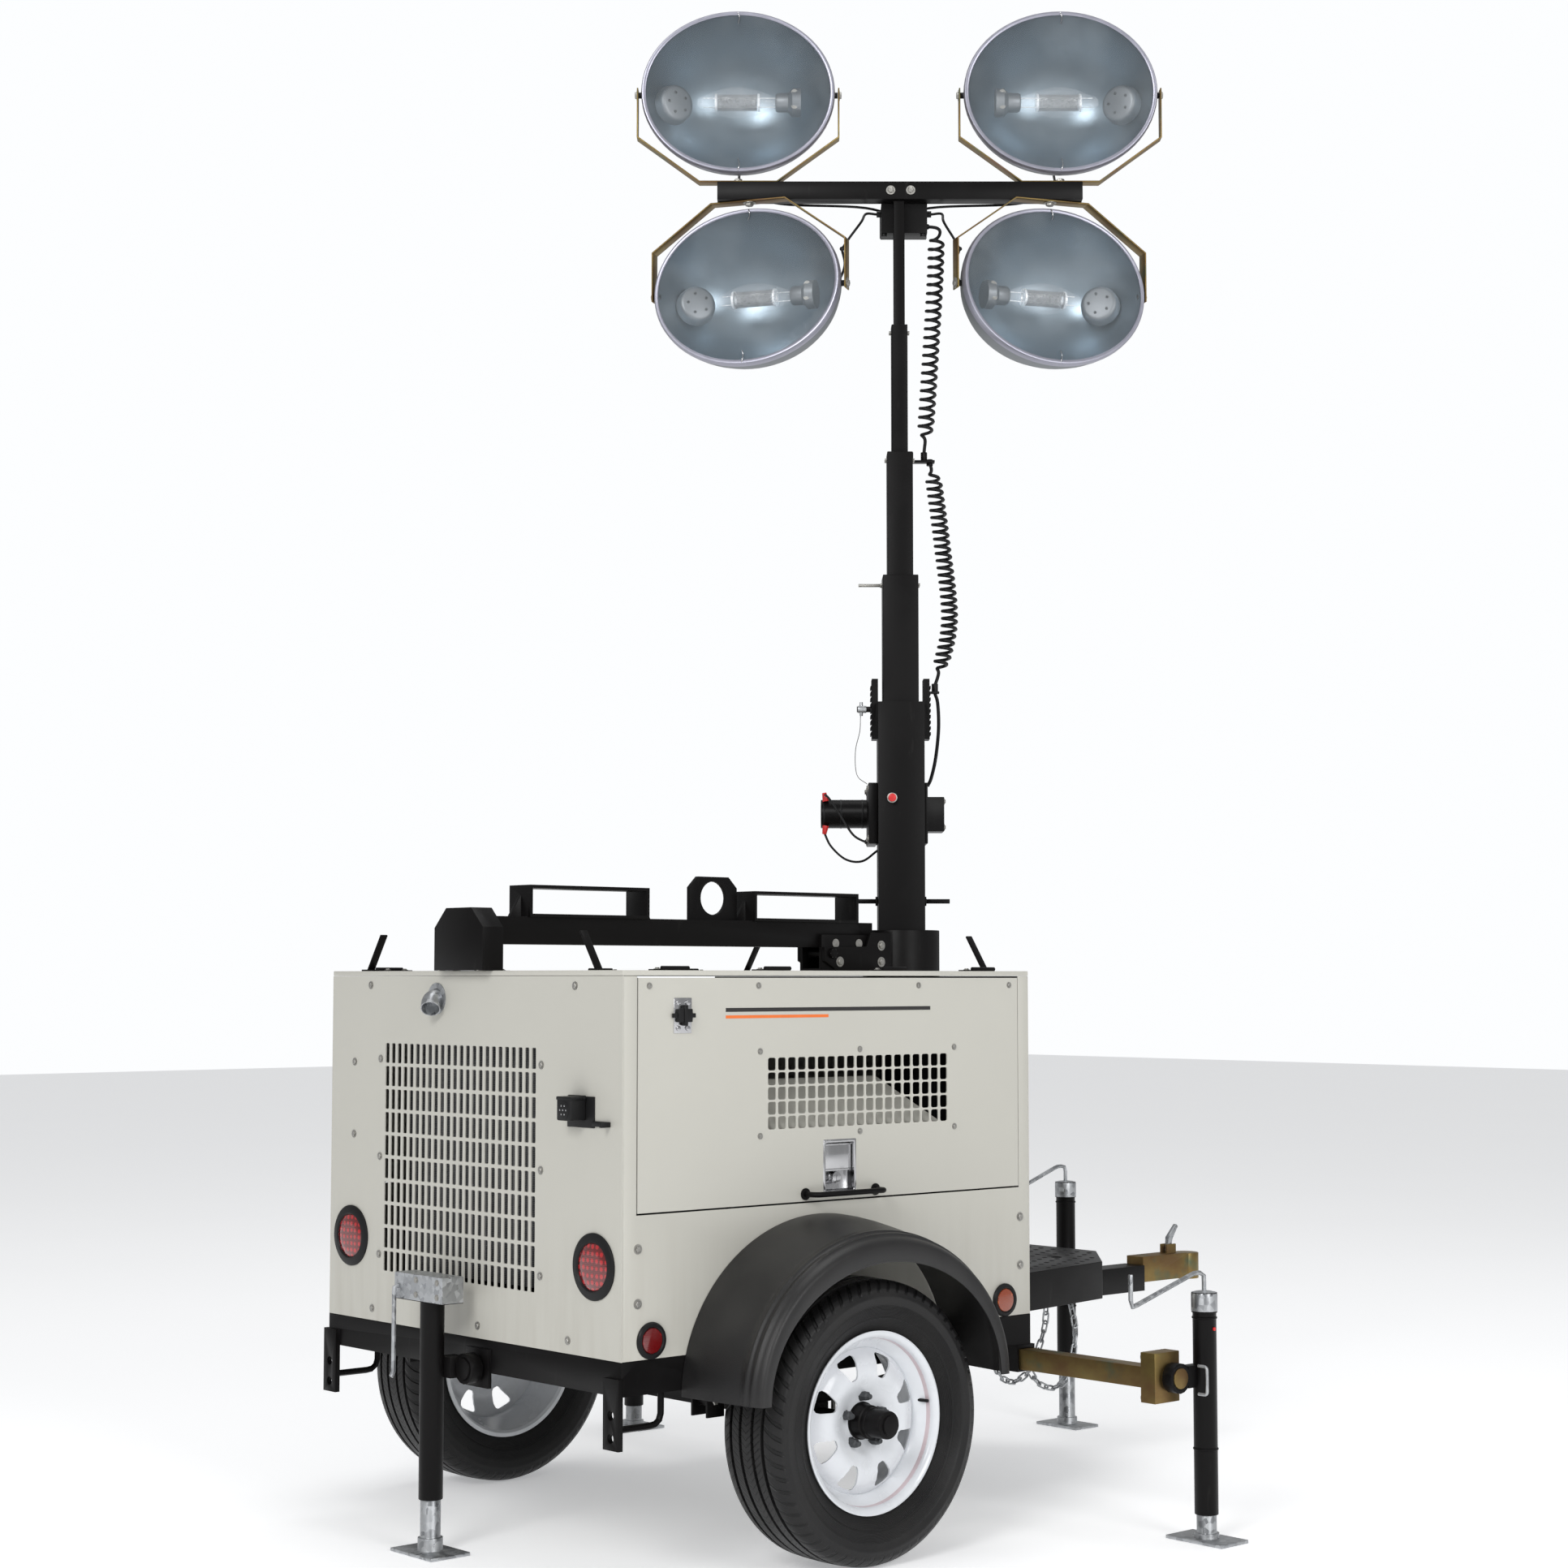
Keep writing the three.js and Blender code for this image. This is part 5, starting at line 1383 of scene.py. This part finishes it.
class TOWER_OT_lift_frame(bpy.types.Operator):
    """Adds the lifting frame and the folding bracket of the mast"""

    bl_idname = "tower.lift_frame"
    bl_label = "Add Lifting Frame"

    def execute(self, context):
        fit(refined("lift_frame", "lifting_frame", 0.0022), "trailer", "black coat")
        fit(refined("mast_bracket", "fold_bracket", 0.0018), "trailer", "black coat")
        places = [at(x, -0.0432, z) for x in (1.155, 1.240) for z in (1.378, 1.432)]
        fit_bolts("trailer", "bracket_bolts_right", places, -Y_AXIS, 0.008, 0.0009)
        heads = [bolts("pin", [at(1.133, side * 0.0615, 1.405)], (0, side, 0), 0.0125, 0.0004,
                       False) for side in (-1, 1)]
        fit(join("fold_pin_heads", heads), "trailer", "bolt steel")
        feet = [at(x, y, ROOF + 0.0003) for x in (-0.022, 0.022) for y in (-0.08, 0.08)]
        fit_bolts("trailer", "cradle_bolts", feet, Z_AXIS, 0.006, 0.004)
        return {"FINISHED"}


class TOWER_OT_mast(bpy.types.Operator):
    """Adds the mast: its sleeve, its five sections, its winch and the light bar"""

    bl_idname = "tower.mast"
    bl_label = "Add Mast"

    def execute(self, context):
        fit(refined("mast_sleeve", "sleeve", 0.002), "mast_base", "black coat")
        for k in range(1, 6):
            fit(refined(f"mast_section_{k}", f"section_{k}", 0.0025, 3), f"mast_{k}", "black coat")
        fit(refined("light_bar", "bar", 0.002), "mast_5", "black coat")
        fit(refined("winch_body", "winch_case", 0.002), "mast_1", "black coat")
        self.winch()
        self.section_fittings()
        self.sleeve_bolts()
        self.junction_box()
        return {"FINISHED"}

    def winch(self):
        fit(refined("winch_drum", "winch_spool", 0.001), "winch_drum", "galvanised")
        laid, pitch, per_turn, radius = 17, 0.00625, 24, 0.0305
        turn = 2 * math.pi / per_turn
        rope = [on_mast(-0.050 + pitch * i / per_turn, DRUM_BACK + radius * math.cos(i * turn),
                        DRUM_HEIGHT + radius * math.sin(i * turn))
                for i in range(laid * per_turn + 1)]
        fit(pipe("winch_rope", rope, 0.0024, 1), "winch_drum", "bolt steel")
        motor = [rod_on_mast("band", (start, DRUM_BACK, DRUM_HEIGHT),
                             (end, DRUM_BACK, DRUM_HEIGHT), size)
                 for start, end, size in ((-0.213, -0.207, 0.0405), (-0.165, -0.159, 0.0405),
                                          (-0.105, -0.099, 0.0405), (-0.218, -0.2135, 0.030))]
        fit(join("motor_bands", motor), "mast_1", "black plastic")
        plates = [on_mast(-0.0893, v, z) for v in (-0.008, 0.160) for z in (1.722, 1.862)]
        fit_bolts("mast_1", "winch_bolts", plates, -BAR_WAY, 0.0075, 0.005)
        gear = [on_mast(0.1243, v, z) for v in (0.072, 0.148) for z in (1.758, 1.830)]
        fit_bolts("mast_1", "gear_bolts", gear, BAR_WAY, 0.006, 0.004)
        boots = [rod_on_mast("boot", (-0.205, 0.100, z - up * 0.006),
                             (-0.209, 0.100, z + up * 0.018), 0.009, end_radius=0.006)
                 for z, up in ((1.838, 1), (1.758, -1))]
        fit(join("terminal_boots", boots), "mast_1", "red cap")
        mast_cord("winch_lead_a", ((-0.209, 0.100, 1.852), (-0.196, 0.070, 1.838),
                                   (-0.165, 0.050, 1.790), (-0.130, 0.035, 1.735),
                                   (-0.092, 0.024, 1.712)), 0.0032)
        mast_cord("winch_lead_b", ((-0.209, 0.100, 1.744), (-0.190, 0.085, 1.705),
                                   (-0.150, 0.060, 1.668), (-0.105, 0.035, 1.662),
                                   (-0.064, 0.010, 1.690)), 0.0032)

    def section_fittings(self):
        half = 0.0635
        fit(rod_on_mast("mast_knob", (-0.026, -half - 0.020, 1.831), (-0.026, -half - 0.004, 1.831),
                        0.011), "mast_1", "red cap")
        fit(rod_on_mast("knob_collar", (-0.026, -half - 0.006, 1.831), (-0.026, -half, 1.831),
                        0.014), "mast_1", "bolt steel")
        guides = [block_on_mast("rib", (end * (half + 0.0165), -0.027, 2.006 + k * 0.016),
                                (end * (half + 0.0195), 0.027, 2.015 + k * 0.016))
                  for end in (1, -1) for k in range(9)]
        fit(join("guide_ribs", guides), "mast_1", "black plastic")
        pin = join("pull_pin", [
            rod_on_mast("pin", (-0.094, 0, 2.080), (-0.118, 0, 2.080), 0.010),
            rod_on_mast("grip", (-0.108, 0, 2.062), (-0.108, 0, 2.100), 0.0045)])
        fit(pin, "mast_1", "galvanised")
        mast_cord("pin_lanyard", ((-0.110, 0.0, 2.064), (-0.112, 0.004, 2.02),
                                  (-0.124, 0.010, 1.965), (-0.120, 0.014, 1.90),
                                  (-0.092, 0.010, 1.874)), 0.0011, 1, "bright steel")
        mast_cord("mast_cable", ((0.098, 0.044, 2.130), (0.106, 0.044, 2.100),
                                 (0.108, 0.044, 2.03), (0.100, 0.050, 1.95),
                                 (0.088, 0.060, 1.895), (0.078, 0.066, 1.872)), 0.0048)
        rods = [(2, 0.049, 2.425, -0.115), (3, 0.0355, 2.775, None), (4, 0.0225, 3.135, None)]
        for k, half, z, reach in rods:
            parts = []
            if reach:
                parts.append(rod_on_mast("rod", (-half, 0, z), (reach, 0, z), 0.0045))
            for back in (-0.014 * half / 0.049, 0.014 * half / 0.049):
                for start, end in ((-half - 0.006, -half + 0.001), (half - 0.001, half + 0.006)):
                    parts.append(rod_on_mast("stud", (start, back, z), (end, back, z), 0.0045))
            fit(join(f"section_{k}_studs", parts), f"mast_{k}", "bolt steel")
        grips = []
        for end, reach in ((-1, 0.123), (1, 0.134)):
            grips.append(rod_on_mast("grip", (end * 0.066, 0, 1.55), (end * reach, 0, 1.55),
                                     0.0063))
            grips.append(rod_on_mast("nut", (end * 0.0635, 0, 1.55), (end * 0.070, 0, 1.55), 0.013,
                                     sides=6))
        fit(join("turn_handle", grips), "mast_1", "black coat")

    def sleeve_bolts(self):
        for name, side in reversed(SIDES):
            places = [at(x, side * 0.0545, z)
                      for x, z in ((1.312, 1.427), (1.312, 1.383), (1.160, 1.383))]
            fit_bolts("mast_base", f"sleeve_bolts_{name}", places, (0, side, 0), 0.009, 0.006)

    def junction_box(self):
        parts = [block_on_mast("lid", (-0.050, 0.0935, 3.430), (0.083, 0.0965, 3.509), 0.001)]
        parts += [rod_on_mast("gland", (u, 0.035, 3.419), (u, 0.035, 3.429), 0.008)
                  for u in (-0.040, 0.010, 0.070)]
        parts += [rod_on_mast("gland", (u, 0.058, 3.490), (u + 0.014, 0.058, 3.490), 0.009)
                  for u in (-0.060, 0.080)]
        fit(join("junction_box_fittings", parts), "mast_5", "black plastic")
        places = [on_mast(u, -0.0252, 3.535) for u in (-0.0235, 0.0325)]
        fit_bolts("mast_5", "bar_bolts", places, -BACK_WAY, 0.0085, 0.007)
        caps = [block_on_mast("cap", (start, -0.0245, 3.5105), (end, 0.0245, 3.5595), 0.002)
                for start, end in ((-0.503, -0.507), (0.508, 0.512))]
        fit(join("bar_end_caps", caps), "mast_5", "black plastic")


# ------------------------------------------------------------------ floodlights


def bowl_ring(share, inset=0.0):
    """One oval ring of a lamp's bowl: share 0 at the rim, 1 at the back. Lens side is -Y."""
    turn = math.radians(90 * share)
    reach = max(math.cos(turn), 0) ** 0.8
    depth = 0.222 * math.sin(turn) ** 1.3 - 0.022 - inset
    half, high = (BOWL_HALF - inset) * reach, (BOWL_HIGH - inset) * reach
    return [Vector((half * x, depth, high * z)) for x, z in circle(1, 72)]


class TOWER_OT_lamps(bpy.types.Operator):
    """Adds the four floodlights with their yokes, reflectors, bulbs, lenses and leads"""

    bl_idname = "tower.lamps"
    bl_label = "Add Floodlights"

    def execute(self, context):
        shell, bowl, band, glass = self.bowl()
        for name in LAMP_NAMES:
            tilt = axis(f"{name}_tilt")
            pitch = math.radians(-8) if name.startswith("lower") else 0
            place = (Matrix.Translation(pivot(f"{name}_tilt"))
                     @ Matrix.Rotation(math.atan2(tilt.y, tilt.x), 4, "Z")
                     @ Matrix.Rotation(pitch, 4, "X"))
            body, side = f"lamp_{name}", -1 if name.endswith("left") else 1
            back = copy_at(shell, f"lamp_shell_{name}", place)
            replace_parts(fit(back, body, "lamp back"), f"lamp_{name}")
            fit(copy_at(bowl, f"lamp_bowl_{name}", place), body, "reflector")
            fit(copy_at(band, f"lamp_band_{name}", place), body, "lens band")
            fit(copy_at(glass, f"lamp_lens_{name}", place), body, "lens glass")
            self.inside(name, body, place, side)
            self.clips(name, body, place)
            self.yoke(name)
            self.lead(name, place, -side)
        discard(shell, bowl, band, glass)
        return {"FINISHED"}

    def bowl(self):
        shares = [0, 0.04, 0.10, 0.18, 0.28, 0.38, 0.48, 0.58, 0.68, 0.78, 0.88, 0.95, 0.985]
        outer = [bowl_ring(share) for share in shares]
        lip = [Vector((p.x, -0.024, p.z)) for p in bowl_ring(0)]
        gap = [Vector((p.x, -0.024, p.z)) for p in bowl_ring(0, 0.003)]
        inner = [bowl_ring(share, 0.0032) for share in shares]
        shell = skin_rings("shell", inner[::-1] + [gap, lip] + outer, (True, True))
        inner_skin = [bowl_ring(share, 0.0042) for share in shares]
        bowl = skin_rings("bowl", inner_skin, (False, True))
        modify(bowl, "SOLIDIFY", thickness=0.0006, offset=0)
        band = skin_rings("band", self.band_rings())
        rim = bowl_ring(0, 0.004)
        dome = [[Vector((p.x * reach, depth, p.z * reach)) for p in rim] for reach, depth in (
            (0.02, -0.0396), (0.35, -0.0394), (0.7, -0.0380), (0.975, -0.0345),
            (0.975, -0.0315), (0.7, -0.0350), (0.35, -0.0364), (0.02, -0.0366))]
        glass = skin_rings("glass", dome, (True, True))
        for piece in (shell, bowl, band, glass):
            clean(piece, 1e-6)
            smooth(piece, 50)
        return shell, bowl, band, glass

    def band_rings(self):
        profile = [(0.0005, -0.018), (0.0002, -0.030), (-0.003, -0.0375), (-0.009, -0.0385),
                   (-0.0125, -0.0365), (-0.0125, -0.033), (-0.008, -0.034), (-0.0038, -0.031),
                   (-0.0036, -0.018)]
        base = bowl_ring(0)
        return [[Vector((p.x * (1 + step / BOWL_HALF), depth, p.z * (1 + step / BOWL_HIGH)))
                 for p in base] for step, depth in profile + profile[:1]]

    def inside(self, name, body, place, side):
        """The round boss with its rivets, the bulb across the bowl, and its socket."""
        way = Vector((-side * 0.55, -0.84, 0)).normalized()
        boss_spot = place @ Vector((side * 0.178, 0.070, 0))
        turn = Matrix.Translation(boss_spot) @ toward(place.to_3x3() @ way)
        boss = turned(f"lamp_boss_{name}", [
            (56, -22), (53, 2), (50, 8), (46, 11), (40, 12.5), (0, 12.5)], 48, place=turn)
        fit(boss, body, "lamp back")
        spots = [turn @ Vector((a, b, 0.0125)) for a, b in circle(0.029, 5, 0.6)]
        fit(bolts(f"lamp_rivets_{name}", spots, turn.to_3x3() @ Z_AXIS, 0.0045, 0.002, False), body,
            "cast iron")
        across = Matrix.Rotation(math.radians(90) * side, 4, "Y")
        spin = place @ Matrix.Translation((0, 0.062, 0)) @ across
        bulb = turned(f"lamp_bulb_{name}", [
            (0, 118), (10, 116), (17, 108), (20, 95), (27, 78), (38, 50), (44, 20), (44, -10),
            (36, -50), (25, -80), (18, -100), (17, -112)], 40, place=spin)
        shroud = turned("shroud", [(22, -52), (23.5, -52), (23.5, 60), (22, 60)], 40, True, spin)
        bulb = join(f"lamp_bulb_{name}", [bulb, shroud])
        fit(bulb, body, "bulb glass")
        core = [turned("arc", [(0, 56), (7, 55), (11, 46), (11, -36), (7, -45), (0, -46)], 28,
                       place=spin)]
        for dx in (0.013, -0.013):
            wire = [spin @ Vector((dx, 0, z)) for z in (-0.105, -0.05, 0.06, 0.10)]
            core.append(pipe("wire", wire, 0.0012, 1))
        core += [turned("clamp", [(25, z), (25, z + 6), (12, z + 6), (12, z)], 32, True, spin)
                 for z in (-60, 61)]
        fit(join(f"lamp_arc_{name}", core), body, "bulb core")
        socket = turned(f"lamp_socket_{name}", [
            (17, -104), (24, -106), (27, -112), (27, -140), (33, -146), (40, -152), (40, -176),
            (0, -176)], 40, place=spin)
        fit(socket, body, "lamp back")
        screws = [place @ Vector((-side * 0.158, 0.030, dz)) for dz in (-0.019, 0.019)]
        fit_bolts(body, f"lamp_socket_screws_{name}", screws, place.to_3x3() @ -Y_AXIS, 0.006,
                  0.003)

    def clips(self, name, body, place):
        parts = []
        for up in (-1, 1):
            z = up * 0.224
            corners = [Vector((0, -0.0395, z * 0.86)), Vector((0.004, -0.0395, z * 0.93)),
                       Vector((0.0, -0.0395, z * 1.0)), Vector((0.0, -0.020, z * 1.022)),
                       Vector((0, 0.004, z * 1.0))]
            parts.append(pipe("clip", [place @ c for c in flowing(corners, 5)], 0.0016, 1))
            parts.append(block("catch", (-0.012, -0.034, up * 0.2275 - 0.002),
                               (0.012, -0.012, up * 0.2275 + 0.002), 0.0008))
            parts[-1].data.transform(place)
        fit(join(f"lamp_clips_{name}", parts), body, "bright steel")
        gland = [rod("gland", place @ Vector((0, 0.1985, 0)), place @ Vector((0, 0.212, 0)), 0.013),
                 rod("pin", place @ Vector((-0.279, 0, 0)), place @ Vector((-0.262, 0, 0)), 0.0085),
                 rod("pin", place @ Vector((0.262, 0, 0)), place @ Vector((0.279, 0, 0)), 0.0085)]
        fit(join(f"lamp_gland_{name}", gland), body, "black plastic")

    def yoke(self, name):
        body = f"yoke_{name}"
        strap = refined(body, f"strap_{name}", 0.0012)
        fit(strap, body, "yellow zinc")
        up = 1 if name.startswith("upper") else -1
        seat = pivot(f"{name}_swivel") + Vector((0, 0, up * 0.0042))
        fit_bolts(body, f"swivel_bolt_{name}", [seat], (0, 0, up), 0.012, 0.009)
        tilt, way = pivot(f"{name}_tilt"), axis(f"{name}_tilt").normalized()
        nuts = [bolts("nut", [tilt + way * end * 0.2842], way * end, 0.010, 0.006)
                for end in (-1, 1)]
        fit(join(f"tilt_nuts_{name}", nuts), body, "bolt steel")

    def lead(self, name, place, inner):
        """The lamp's lead, from the junction box to the yoke's arm and on to the lamp's back."""
        swivel, turn = pivot(f"{name}_swivel"), place.to_3x3()
        way = axis(f"{name}_tilt").normalized()
        back = Z_AXIS.cross(way)
        if name.startswith("upper"):
            box = on_mast(0.030 * inner, 0.094, 3.480)
            clip = swivel + back * 0.027 + Vector((0, 0, 0.008))
            along = (clip - box).dot(BAR_WAY)
            first = [box, box + BACK_WAY * 0.020 + Vector((0, 0, 0.004)),
                     box + BAR_WAY * (along * 0.25) - BACK_WAY * 0.030 + Vector((0, 0, 0.030)),
                     box + BAR_WAY * (along * 0.75) - BACK_WAY * 0.050 + Vector((0, 0, 0.036)),
                     clip - BAR_WAY * (along * 0.06) + back * 0.008 - Vector((0, 0, 0.022)), clip]
            behind = [(0, 0.075, -0.238), (0, 0.160, -0.190), (0, 0.232, -0.105),
                      (0, 0.246, -0.030)]
        else:
            box = on_mast(0.094 if inner < 0 else -0.060, 0.058, 3.490)
            clip = swivel + way * (inner * 0.262) + back * 0.024 + Vector((0, 0, -0.150))
            first = [box, box + BAR_WAY * (-inner * 0.030) + Vector((0, 0, 0.001)),
                     box.lerp(clip, 0.45) + Vector((0, 0, 0.022)),
                     box.lerp(clip, 0.80) + Vector((0, 0, 0.010)), clip]
            behind = [(inner * 0.250, 0.080, 0.080), (inner * 0.190, 0.165, 0.050),
                      (inner * 0.095, 0.226, 0.018), (inner * 0.030, 0.246, 0)]
        make_cord(f"lead_{name}_a", flowing(first, 8), ("mast_5", f"yoke_{name}"), 0.0037)
        lamp = pivot(f"{name}_tilt")
        route = [clip, *[lamp + turn @ Vector(spot) for spot in behind],
                 lamp + turn @ Vector((0, 0.236, 0)), place @ Vector((0, 0.211, 0))]
        make_cord(f"lead_{name}_b", flowing(route, 8), (f"yoke_{name}", f"lamp_{name}"), 0.0037)
        tie = rod(f"lead_tie_{name}", clip - back * 0.004, clip + back * 0.005, 0.006)
        fit(tie, f"yoke_{name}", "black plastic")


# ------------------------------------------------------------------ inside the cabinet


class TOWER_OT_power_unit(bpy.types.Operator):
    """Gives the engine, alternator, radiator, tank, muffler and control box their finishes"""

    bl_idname = "tower.power_unit"
    bl_label = "Finish Power Unit"

    def execute(self, context):
        finishes = {
            "engine_block": "cast iron", "alternator": "cast iron", "radiator": "radiator fins",
            "fuel_tank": "black plastic", "muffler": "galvanised", "control_panel": "black plastic"}
        for node, finish in finishes.items():
            mesh = FRAME["nodes"][node].data
            mesh.materials.clear()
            mesh.materials.append(finish_material(finish))
        return {"FINISHED"}


# ------------------------------------------------------------------ floor and lights


class TOWER_OT_stage(bpy.types.Operator):
    """Adds the floor, the soft lights and the pale surroundings"""

    bl_idname = "tower.stage"
    bl_label = "Add Stage"

    def execute(self, context):
        bpy.ops.mesh.primitive_plane_add(size=60, location=(0, 0, -0.0005))
        floor = context.object
        floor.name = "floor"
        floor.data.materials.append(finish_material("floor"))
        for name, place, aim, size, power in (
                ("key", (-9.0, -4.2, 6.5), (0, 0, 1.2), 4.0, 430),
                ("fill", (-1.6, -9.5, 4.5), (0, 0, 1.4), 4.0, 300),
                ("top", (0.5, 0.5, 9.0), (0, 0, 1.0), 5.0, 170)):
            bpy.ops.object.light_add(type="AREA", location=place)
            light = context.object
            light.name = name
            light.data.shape, light.data.size, light.data.energy = "DISK", size, power
            light.rotation_euler = (Vector(aim) - Vector(place)).to_track_quat("-Z", "Y").to_euler()
        world = bpy.data.worlds.new("surroundings")
        world.use_nodes = True
        nodes, links = world.node_tree.nodes, world.node_tree.links
        sky = next(node for node in nodes if node.type == "BACKGROUND")
        sky.inputs["Color"].default_value = (0.98, 0.99, 1.0, 1)
        seen = nodes.new("ShaderNodeMapRange")
        seen.inputs["To Min"].default_value, seen.inputs["To Max"].default_value = 0.42, 1.0
        links.new(nodes.new("ShaderNodeLightPath").outputs["Is Camera Ray"], seen.inputs["Value"])
        links.new(seen.outputs[0], sky.inputs["Strength"])
        context.scene.world = world
        context.scene.view_settings.view_transform = "Standard"
        return {"FINISHED"}


class TOWER_PT_panel(bpy.types.Panel):
    """The light tower's steps, in the order in which they run"""

    bl_idname = "TOWER_PT_panel"
    bl_label = "Light Tower"
    bl_space_type = "VIEW_3D"
    bl_region_type = "UI"
    bl_category = "Light Tower"

    def draw(self, context):
        for settings in SETTINGS:
            box = self.layout.box()
            for name in SETTINGS[settings].__annotations__:
                box.prop(getattr(context.scene, settings), name)
        for operator in STEPS:
            self.layout.operator(operator.bl_idname)


SETTINGS = {"tower_cabinet": CabinetSettings, "tower_running": RunningGearSettings,
            "tower_lights": LightSettings, "tower_stage": StageSettings}
STEPS = (TOWER_OT_camera, TOWER_OT_coil_cords, TOWER_OT_cabinet, TOWER_OT_cabinet_fittings,
         TOWER_OT_wheels, TOWER_OT_chassis, TOWER_OT_jacks, TOWER_OT_lift_frame, TOWER_OT_mast,
         TOWER_OT_lamps, TOWER_OT_power_unit, TOWER_OT_stage)


def register():
    for settings, kind in SETTINGS.items():
        bpy.utils.register_class(kind)
        setattr(bpy.types.Scene, settings, bpy.props.PointerProperty(type=kind))
    for kind in (*STEPS, TOWER_PT_panel):
        bpy.utils.register_class(kind)


def unregister():
    for kind in (TOWER_PT_panel, *reversed(STEPS)):
        bpy.utils.unregister_class(kind)
    for settings, kind in SETTINGS.items():
        delattr(bpy.types.Scene, settings)
        bpy.utils.unregister_class(kind)


def main():
    register()
    bpy.ops.tower.camera()
    bpy.ops.tower.coil_cords()
    bpy.ops.tower.cabinet()
    bpy.ops.tower.cabinet_fittings()
    bpy.ops.tower.wheels()
    bpy.ops.tower.chassis()
    bpy.ops.tower.jacks()
    bpy.ops.tower.lift_frame()
    bpy.ops.tower.mast()
    bpy.ops.tower.lamps()
    bpy.ops.tower.power_unit()
    bpy.ops.tower.stage()


if __name__ == "__main__":
    main()
